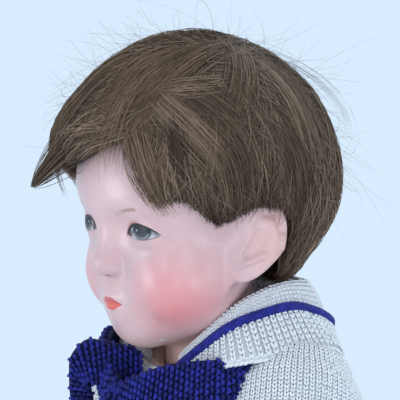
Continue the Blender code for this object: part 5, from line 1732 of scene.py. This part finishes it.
for name, (surface, columns, rows, loop, node, flat) in SCARF_STRIPS.items():
    strip = dress(strip_piece(name, surface, columns, rows, loop), "torso", "blue_wool", node)
    loops = garter(name.replace("cloth", "loops"), surface, both_sides=not loop)
    dress(loops, "torso", "blue_wool")
    print(name, len(loops.data.polygons), "loop faces")

# %% Knot
KNOT_PLACE = np.array((-0.002, -0.0525, 0.1400))
KNOT_HALF = np.array((0.0080, 0.0048, 0.0110))


def knot_surface(u, v):
    """A short wrap of the strip over the crossing, as a flattened egg."""
    angles, polar = u * TURN, np.clip(v, 0.02, 0.98) * math.pi
    spot = np.stack((np.sin(polar) * np.sin(angles), -np.sin(polar) * np.cos(angles), -np.cos(polar)), -1)
    return KNOT_PLACE + spot * KNOT_HALF * (1.0 + 0.05 * np.cos(5 * angles))[:, None]


knot_turns = np.linspace(0.0, 1.0, 36, endpoint=False)
knot_rings = [knot_surface(knot_turns, np.full(36, v)) for v in np.linspace(0.02, 0.98, 20)]
knot = ring_piece("scarf_knot_cloth", knot_rings, blue_wool_painted_shade)
dress(knot, "torso", "blue_wool", "scarf_knot")
knot_loops = garter("scarf_knot_loops", knot_surface, both_sides=False)
dress(knot_loops, "torso", "blue_wool")
for helper in (v_stitch, loop_stitch):
    bpy.data.objects.remove(helper)
print("knot loops", len(knot_loops.data.polygons))

# %% [markdown]
# ## Stuffed body and arms
# Under the clothes the doll is sewn from flesh-coloured cotton and stuffed firmly. The torso ends in a round
# socket that the neck turns in. The hands are flat mittens with three rows of stitches that divide the
# fingers, and a thumb sewn on. Cloth simulation could fill the covers, but they are stuffed hard and lie
# under clothes, so rings through a table of sections give the same form.

# %% Cotton and threads
THREAD_FILL = 0.62       # how much of the way to the next stitch a thread covers


def make_weave(name, dark, light, pitch, slant=0.0):
    """Woven cloth: threads that cross at right angles, or on a slant for twill."""
    cloth = Finish(name, Roughness=0.85, Sheen_Weight=0.15)
    x, y, z = cloth.axes(cloth.place(scale=TURN / pitch))
    warp = (x + y * 0.6 + z * slant).sine()
    weft = (z + y * 0.4 - x * slant).sine()
    threads = 0.5 + 0.25 * warp + 0.25 * weft
    stain = cloth.noise(cloth.place(), 60.0, 3.0)
    cloth.set("Base Color", cloth.mix((0.5 * threads + 0.5 * stain).ease(0.2, 0.8), dark, light))
    cloth.bump(threads, 0.00012)
    return cloth


def stitched_line(name, places, finish, radius=0.00022):
    """Short threads along a line of places, each stitch from one place towards the next."""
    steps = np.diff(places, axis=0)[:, None, :] * THREAD_FILL
    paths = places[:-1, None, :] + steps * np.linspace(0.0, 1.0, 4)[None, :, None]
    tone = rng.uniform(0.2, 0.9, (len(paths), 4))
    return sweep_paths(name, paths, np.array((0.5, 1.0, 1.0, 0.5)), tone, radius, finish, sides=5)


muslin = make_weave("flesh_cotton", (0.62, 0.42, 0.33), (0.74, 0.53, 0.43), 0.0007)
seam_thread = make_yarn("seam_thread", (0.48, 0.32, 0.25), (0.66, 0.48, 0.40), 0.0001)
print("cotton ready")

# %% Torso
SOCKET_FLOOR, SOCKET_RADIUS, RIM_DROP = 0.158, 0.0222, 0.0018
SOCKET_PLACE = np.array((0.0, -0.002, 0.0))
TORSO_HEIGHTS = np.concatenate((np.linspace(0.0026, 0.008, 4), np.linspace(0.012, 0.165, 40),
                                (0.1685, 0.1715, 0.1735, 0.1745)))
RIM_FROM = 0.1700        # the torso is a little lower from this height on


def torso_rings(columns):
    """Rings up the torso, over the rim of the neck's socket and down to its floor."""
    angles = full_turn(columns)
    rings = []
    for height in TORSO_HEIGHTS:
        ring = body_point(angles, np.full(columns, height), 0.0)
        ring[:, 2] -= RIM_DROP * (height > RIM_FROM)
        rings.append(ring)
    around_neck = np.stack((np.sin(angles), -np.cos(angles), np.zeros(columns)), 1)
    rim = SOCKET_PLACE + SOCKET_RADIUS * around_neck
    rim[:, 2] = rings[-1][:, 2] - 0.0010
    floor = rim.copy()
    floor[:, 2] = SOCKET_FLOOR
    return rings + [rim, floor]


torso = dress(ring_piece("torso_cotton", torso_rings(72), muslin), "torso", "muslin", "torso_cover")
print("torso faces", len(torso.data.polygons))

# %% Arms and hands
ARM_TABLE = (   # distance down the arm, half thickness, half breadth
    (-0.0150, 0.0050, 0.0050), (-0.0110, 0.0105, 0.0105), (0.0000, 0.0152, 0.0155), (0.0115, 0.0155, 0.0159),
    (0.0350, 0.0155, 0.0160), (0.0650, 0.0140, 0.0145), (0.0950, 0.0122, 0.0128), (0.1130, 0.0095, 0.0102),
    (0.1240, 0.0085, 0.0125), (0.1380, 0.0080, 0.0130), (0.1520, 0.0060, 0.0105), (0.1580, 0.0030, 0.0075))
ARM_FLAT, ARM_STEP, DISC_RADIUS = 0.0006, 0.0048, 0.0205    # flat side at the joint, and farther out round it
FLAT_TO = 0.07           # the side is flat down to here
FINGER_REACH = 0.0040
FINGERS_FROM, FINGERS_GROW = 0.134, 0.018
FINGER_SEAMS = (math.asin(0.515), 0.0, -math.asin(0.515))
THUMB_TABLE = (          # distance down the arm, place from front (minus) to back, half thickness
    (0.114, -0.0060, 0.0), (0.119, -0.0105, 0.0034), (0.126, -0.0150, 0.0042), (0.133, -0.0178, 0.0040),
    (0.139, -0.0185, 0.0033), (0.1425, -0.0187, 0.0))


def arm_surface(angles, down, lift=0.0):
    """The arm in the shoulder's frame, with four finger ends at the tip of the hand."""
    thick, broad = along_table(down, ARM_TABLE).T
    finger = np.abs(np.sin(TURN * np.sin(angles) * 0.97))
    hand = np.clip((down - FINGERS_FROM) / FINGERS_GROW, 0.0, 1.0)
    thick = thick * (1.0 - 0.22 * hand * (1.0 - finger))
    full = arm_tube(angles, down, thick + lift, broad + lift, ARM_OUT)
    full = full + (hand * FINGER_REACH * (finger - 0.5))[:, None] * arm_down
    from_joint = np.hypot(full[:, 1], full[:, 2])
    side = np.where(from_joint < DISC_RADIUS, ARM_FLAT, ARM_FLAT + ARM_STEP)
    full[:, 0] = np.where(down < FLAT_TO, np.maximum(full[:, 0], side), full[:, 0])
    return full


arm_places = np.concatenate((np.linspace(-0.015, 0.12, 46), np.linspace(0.1225, 0.158, 22)))
arm_rings = np.array([arm_surface(full_turn(48), np.full(48, place)) for place in arm_places])
thumb_path = [np.array((ARM_OUT, y, 0.0)) + down * arm_down for down, y, _ in THUMB_TABLE]
thumb_points, thumb_faces = spindle(thumb_path, [thick for _, _, thick in THUMB_TABLE], 14)
seam_places = np.linspace(FINGERS_FROM, 0.1545, 9)
finger_lines = [arm_surface(np.full(9, angle), seam_places, 0.0001) for angle in FINGER_SEAMS]
for label, side in SIDES.items():
    body = f"{label}_arm"
    arm = ring_piece(f"{label}_arm_cotton", place_arm(arm_rings, side), muslin)
    dress(arm, body, "muslin", f"{label}_arm_cover")
    outward_faces = [face[::side] for face in thumb_faces]
    dress(link_mesh(f"{label}_thumb", place_arm(thumb_points, side), outward_faces, muslin), body, "muslin")
    for k, line in enumerate(finger_lines):
        dress(stitched_line(f"{label}_finger_seam_{k}", place_arm(line, side), seam_thread), body, "muslin")
    print(label, "arm faces", len(arm.data.polygons))

# %% [markdown]
# ## Legs, shorts, socks and shoes
# None of these are in the photograph, so they are guesses after dolls of this kind: navy twill shorts with a
# stitched hem, ribbed socks with a rolled top, and brown leather shoes with one buttoned strap and a stitched
# sole. Each could have its own table of sections, but one table down the leg and out along the foot keeps the
# layers in order: each is grown a little over the last.

# %% Sections of the leg and foot
HIP = np.array((0.030, 0.004, 0.027))
LEG_OUT, HIP_SIDE, FOOT_BOTTOM = 0.0168, 0.0018, 0.2125
HIP_PRESS = 0.15         # what is left of the leg's depth beyond the hip's flat side
LEG_TABLE = (            # distance down the leg, half breadth, half depth
    (-0.0205, 0.0090, 0.0095), (-0.0170, 0.0150, 0.0156), (-0.0100, 0.0192, 0.0198),
    (0.0000, 0.0206, 0.0212), (0.0450, 0.0205, 0.0210), (0.0950, 0.0165, 0.0170),
    (0.1250, 0.0168, 0.0176), (0.1600, 0.0135, 0.0140), (0.1800, 0.0122, 0.0128))
FOOT_TABLE = (           # (y, z) of the instep, (y, z) of the heel or ball, half breadth
    (-0.0150, -0.1870, 0.0150, -0.1975, 0.0128), (-0.0205, -0.1925, 0.0100, -0.2100, 0.0133),
    (-0.0265, -0.1955, -0.0060, -0.2150, 0.0140), (-0.0335, -0.1975, -0.0230, -0.2160, 0.0145),
    (-0.0410, -0.1995, -0.0370, -0.2160, 0.0138), (-0.0475, -0.2025, -0.0475, -0.2130, 0.0090))


def level_sections(table):
    """Sections across a leg that hangs straight down, in the form that the foot has."""
    return [(-deep, -down, deep, -down, half) for down, half, deep in table]


LEG_SECTIONS = np.array(level_sections(LEG_TABLE) + list(FOOT_TABLE))
TOE = len(LEG_SECTIONS) - 1.0
LEG_END, SOCK_END = TOE - 0.6, TOE - 0.3        # each layer ends short of the next one's toe
LEG_COLUMNS = 48
leg_turns = full_turn(LEG_COLUMNS)


def seat_leg(local, side):
    """From a standing leg's own frame at the left hip to the seated doll."""
    x, y, z = (local[..., k] for k in range(3))
    return np.stack((x, z, -y), -1) * np.array((side, 1, 1)) + HIP * np.array((side, 1, 1))


def leg_surface(angles, places, grow=0.0, sections=LEG_SECTIONS):
    """Points round the leg or foot at numbered sections, grown outwards, with a flat sole to the foot."""
    row = hermite(places, np.arange(len(sections)), sections)
    instep, heel, half = row[:, 0:2], row[:, 2:4], row[:, 4]
    reach = 0.5 * (heel - instep)
    reach = reach * (1.0 + grow / np.linalg.norm(reach, axis=1))[:, None]
    spot = 0.5 * (heel + instep) + reach * np.sin(angles)[:, None]
    x = press(LEG_OUT + (half + grow) * np.cos(angles), HIP_SIDE, HIP_PRESS)
    return np.stack((x, spot[:, 0], np.maximum(spot[:, 1], -FOOT_BOTTOM - grow)), 1)


def leg_rings(places, grow, sections=LEG_SECTIONS):
    """Rings at numbered sections, each with its own growth."""
    grow = np.broadcast_to(grow, (len(places), LEG_COLUMNS))
    return np.array([leg_surface(leg_turns, np.full(LEG_COLUMNS, place), growth, sections)
                     for place, growth in zip(places, grow)])


for label, side in SIDES.items():
    rings = leg_rings(np.linspace(0.0, LEG_END, 76), 0.0)
    leg = ring_piece(f"{label}_leg_cotton", seat_leg(rings, side), muslin)
    dress(leg, f"{label}_leg", "muslin", f"{label}_leg_cover")
    print(label, "leg faces", len(leg.data.polygons))

# %% Shorts
SHORTS_TABLE = (         # distance down the leg, half breadth, half depth
    (-0.0252, 0.0110, 0.0116), (-0.0208, 0.0192, 0.0200), (-0.0110, 0.0238, 0.0244),
    (0.0000, 0.0246, 0.0252), (0.0450, 0.0248, 0.0254), (0.0780, 0.0252, 0.0258))
SHORTS_SECTIONS = np.array(level_sections(SHORTS_TABLE))
SHORTS_END = len(SHORTS_SECTIONS) - 1.0
SHORTS_THICK, HEM_THICK, CREASE = 0.0016, 0.0007, 0.0009
HEM_PLACE = 4.74         # numbered section of the hem's row of stitches
SEAT_SIDE, SEAT_TOP = 0.0301, 0.0535            # the seat's flat sides and how high they go
SEAT_LIFT = 0.0026
SEAT_LEVELS = np.concatenate(((0.0, 0.0012), np.linspace(0.004, 0.056, 22)))
SEAT_EDGE = ((0.0575, 0.0014), (0.0640, 0.0012), (0.0640, 0.0003))      # height, lift off the body
twill = make_weave("navy_twill", (0.012, 0.015, 0.050), (0.030, 0.037, 0.105), 0.0009, slant=0.7)
navy_thread = make_yarn("navy_thread", (0.05, 0.06, 0.14), (0.12, 0.14, 0.28), 0.0001)


def shorts_leg_rings():
    """Up the inside, round the hem and down the outside of one leg of the shorts."""
    places = np.linspace(0.0, SHORTS_END, 44)
    outside = leg_rings(places, 0.0, SHORTS_SECTIONS)
    creases = CREASE * soft_folds(outside * 1.5) * np.clip((SHORTS_END - places) / 1.2, 0.1, 1.0)[:, None]
    doubled = HEM_THICK * (places > HEM_PLACE)[:, None]
    outside = leg_rings(places, creases + doubled, SHORTS_SECTIONS)
    inside = leg_rings(places, creases - SHORTS_THICK, SHORTS_SECTIONS)
    return np.concatenate((inside[4:], outside[::-1]))


def seat_ring(angles, height, lift):
    """A level ring of the shorts' seat, flat where the legs lie against it."""
    ring = body_point(angles, np.full(len(angles), max(height, BODY_TABLE[0, 0])), lift)
    if height < SEAT_TOP:
        ring[:, 0] = np.clip(ring[:, 0], -SEAT_SIDE, SEAT_SIDE)
    ring[:, 2] = height
    return ring


seat_places = [(height, SEAT_LIFT) for height in SEAT_LEVELS] + list(SEAT_EDGE)
seat_rings = [seat_ring(full_turn(72), height, lift) for height, lift in seat_places]
dress(ring_piece("shorts_seat_cloth", seat_rings, twill), "torso", "navy_cloth", "shorts_seat")
hem = leg_surface(np.linspace(0.0, TURN, 64), np.full(64, HEM_PLACE), 0.0006, SHORTS_SECTIONS)
for label, side in SIDES.items():
    body = f"{label}_leg"
    shorts_leg = ring_piece(f"{label}_shorts_cloth", seat_leg(shorts_leg_rings(), side), twill)
    dress(shorts_leg, body, "navy_cloth", f"{label}_shorts_leg")
    dress(stitched_line(f"{label}_shorts_hem", seat_leg(hem, side), navy_thread), body, "navy_cloth")
    print(label, "shorts faces", len(shorts_leg.data.polygons))

# %% Socks
SOCK_TOP = 6.3           # numbered section
SOCK_GROW = 0.0024
SOCK_RIBS, RIB_DEPTH = 16, 0.0004
ROLL_RADIUS, ROLL_LENGTH = 0.0013, 0.045        # the latter as a share of a section
sock_yarn = make_yarn("sock_cotton", (0.74, 0.73, 0.70), (0.90, 0.89, 0.86), 0.0002)


def sock_rings():
    """From inside the top, over its roll and down to the toes, with ribs that fade out on the foot."""
    places = np.linspace(SOCK_TOP, SOCK_END, 64)
    fade = np.clip((8.6 - places) / 0.8, 0.0, 1.0)[:, None]
    ribs = RIB_DEPTH * fade * np.cos(SOCK_RIBS * leg_turns)[None, :]
    outside = leg_rings(places, SOCK_GROW + ribs)
    turn = np.linspace(math.pi, -0.5 * math.pi, 10)
    roll_grow = SOCK_GROW - 0.0002 + ROLL_RADIUS * np.cos(turn)
    roll = leg_rings(SOCK_TOP - ROLL_LENGTH * np.sin(turn), roll_grow[:, None])
    inside = leg_rings(np.array((SOCK_TOP + 0.3,)), 0.0003)
    return np.concatenate((inside, roll, outside[2:]))


for label, side in SIDES.items():
    sock = ring_piece(f"{label}_sock_knit", seat_leg(sock_rings(), side), sock_yarn)
    dress(sock, f"{label}_leg", "sock", f"{label}_sock")
    print(label, "sock faces", len(sock.data.polygons))

# %% Shoes
SHOE_TOP, SHOE_GROW, SHOE_THICK = 9.0, 0.0054, 0.0018       # the first is a numbered section
TOE_DOME = np.array((0.0, -0.0050, 0.0))
STRAP_PLACE, STRAP_HALF = 9.9, 0.33      # numbered section and a share of one
STRAP_SHIFTS = np.array((-1.0, -0.92, 0.0, 0.92, 1.0, 0.92, 0.0, -0.92)) * STRAP_HALF
STRAP_LIFTS = SHOE_GROW + np.array((0.0010, 0.0021, 0.0024, 0.0021, 0.0010, 0.0004, 0.0004, 0.0004))
SOLE_TOP = -FOOT_BOTTOM - 0.0058
SOLE_LEVELS = (          # distance under the top of the sole, growth of its outline
    (0.0, 0.0060), (0.0004, 0.0074), (0.0012, 0.0078), (0.0042, 0.0076), (0.0050, 0.0066))
BUTTON_PROFILE = (       # distance out, radius
    (0.0, 0.0027), (0.0004, 0.0030), (0.0012, 0.0030), (0.0016, 0.0026), (0.0013, 0.0020), (0.0013, 0.0004))
BINDING_RADIUS, WELT_RADIUS = 0.0012, 0.0003


def make_leather(name, dark, light):
    leather = Finish(name, Coat_Weight=0.12)
    spots = {"Vector": leather.place(), "Scale": 1500.0}
    grain = leather.add("ShaderNodeTexVoronoi", None, spots, "Distance")
    wear = leather.noise(leather.place(), 90.0, 4.0)
    leather.set("Base Color", leather.mix((0.7 * wear + 0.3 * grain).ease(0.2, 0.8), dark, light))
    leather.set("Roughness", 0.34 + 0.22 * wear)
    leather.bump(grain, 0.00015)
    return leather


leather = make_leather("brown_leather", (0.075, 0.032, 0.014), (0.19, 0.092, 0.045))
sole_leather = make_leather("sole_leather", (0.20, 0.12, 0.06), (0.36, 0.24, 0.13))
shoe_thread = make_yarn("shoe_thread", (0.42, 0.31, 0.19), (0.62, 0.50, 0.34), 0.0001)
pearl = Finish("button_pearl", Roughness=0.28, Coat_Weight=0.3)
layers = pearl.noise(pearl.place(), 420.0, 3.0)
pearl.set("Base Color", pearl.mix(layers, (0.62, 0.58, 0.50), (0.86, 0.83, 0.76)))


def shoe_rings():
    """From inside the top, down the outside and round the toe to its tip."""
    outside = leg_rings(np.linspace(SHOE_TOP, TOE, 44), SHOE_GROW)
    inside = leg_rings(np.array((SHOE_TOP + 0.5, SHOE_TOP)), SHOE_GROW - SHOE_THICK)
    turn = np.radians((18, 36, 54, 70, 84))[:, None, None]
    middle = outside[-1].mean(0)
    toe = middle + (outside[-1] - middle) * np.cos(turn) + TOE_DOME * np.sin(turn)
    return np.concatenate((inside, outside, toe))


def sole_ring(level, grow, columns=72):
    """Outline of the sole at a level under the foot."""
    turn = full_turn(columns)
    heel, toe = 0.0150 + grow, -0.0470 - grow
    y = 0.5 * (heel + toe) + 0.5 * (heel - toe) * np.sign(np.sin(turn)) * np.abs(np.sin(turn))**0.8
    broad = np.interp(-y, (-heel, 0.0, 0.030, -toe), (0.0125, 0.0130, 0.0146, 0.0130)) + grow
    x = LEG_OUT + broad * np.sign(np.cos(turn)) * np.abs(np.cos(turn))**0.8
    return np.stack((x, y, np.full(columns, level)), 1)


def strap_sections():
    """The strap over the instep: rounded four-cornered sections from one side of the sole to the other."""
    angles = np.radians(np.linspace(188, 352, 44))
    return np.array([leg_surface(np.full(len(STRAP_SHIFTS), angle), STRAP_PLACE + STRAP_SHIFTS, STRAP_LIFTS)
                     for angle in angles])


def button_rings(place):
    """A turned button with a raised rim, on the outer side of the shoe."""
    turn = full_turn(28)
    return np.array([place + np.stack((np.full(28, out), radius * np.cos(turn), radius * np.sin(turn)), 1)
                     for out, radius in BUTTON_PROFILE])


button_at = leg_surface(np.array((0.0,)), np.array((STRAP_PLACE,)), STRAP_LIFTS.max())[0]
sole_rings = np.array([sole_ring(SOLE_TOP - drop, grow) for drop, grow in SOLE_LEVELS])
SHOE_PIECES = (          # end of the piece's name, rings, finish, slot, end of the CAD node's name
    ("shoe_leather", shoe_rings(), leather, "leather", "shoe_upper"),
    ("strap_leather", strap_sections(), leather, "leather", "shoe_strap"),
    ("sole_leather", sole_rings, sole_leather, "sole", "shoe_sole"),
    ("button_pearl", button_rings(button_at), pearl, "button", "shoe_button"))
edge = leg_surface(np.linspace(0.0, TURN, 97), np.full(97, SHOE_TOP), SHOE_GROW - SHOE_THICK / 2)
welt = sole_ring(SOLE_TOP - 0.0003, 0.0069, 90)
for label, side in SIDES.items():
    body = f"{label}_leg"
    for name, rings, finish, slot, node in SHOE_PIECES:
        piece = ring_piece(f"{label}_{name}", seat_leg(rings, side), finish)
        dress(piece, body, slot, f"{label}_{node}")
    binding = sweep_paths(f"{label}_shoe_binding", seat_leg(edge, side)[None], 1.0, 0.5, BINDING_RADIUS,
                          leather, sides=8)
    dress(binding, body, "leather")
    stitches = stitched_line(f"{label}_welt_stitches", seat_leg(welt, side), shoe_thread, WELT_RADIUS)
    dress(stitches, body, "sole")
    print(label, "shoe pieces made", len(SHOE_PIECES) + 2)

# %% [markdown]
# ## What is inside
# The filling, the card discs and the steel pins of the joints stay as the solid model has them. They show
# only when the doll is taken apart, so they need no finer meshes, but they get their own finishes: tufted
# kapok, pressed card and drawn steel.

# %% Finishes of the inner parts
def make_inner_finishes():
    kapok = Finish("kapok", Roughness=0.95)
    tuft = kapok.noise(kapok.place(), 260.0, 5.0, 0.7)
    kapok.set("Base Color", kapok.mix(tuft, (0.48, 0.41, 0.28), (0.78, 0.72, 0.58)))
    kapok.bump(tuft, 0.0015)
    card = Finish("pressed_card", Roughness=0.82)
    fibre = card.noise(card.place(), 900.0, 4.0, 0.6)
    card.set("Base Color", card.mix(fibre, (0.30, 0.20, 0.11), (0.50, 0.37, 0.23)))
    card.bump(fibre, 0.0002)
    steel = Finish("drawn_steel", Metallic=1.0)
    scratch = steel.noise(steel.place(), 1800.0, 3.0)
    steel.set("Base Color", steel.mix(scratch, (0.40, 0.40, 0.41), (0.58, 0.58, 0.60)))
    steel.set("Roughness", 0.26 + 0.2 * scratch)
    return {"stuffing": kapok, "disc": card, "pin": steel}


INNER_FINISHES = make_inner_finishes()
inner_nodes = 0
for name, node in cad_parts.items():
    finish = INNER_FINISHES.get(name.rsplit("_", 1)[1])
    if finish and not node.hide_render:
        node.data.materials.clear()
        node.data.materials.append(finish.material)
        inner_nodes += 1
print("inner parts finished", inner_nodes)
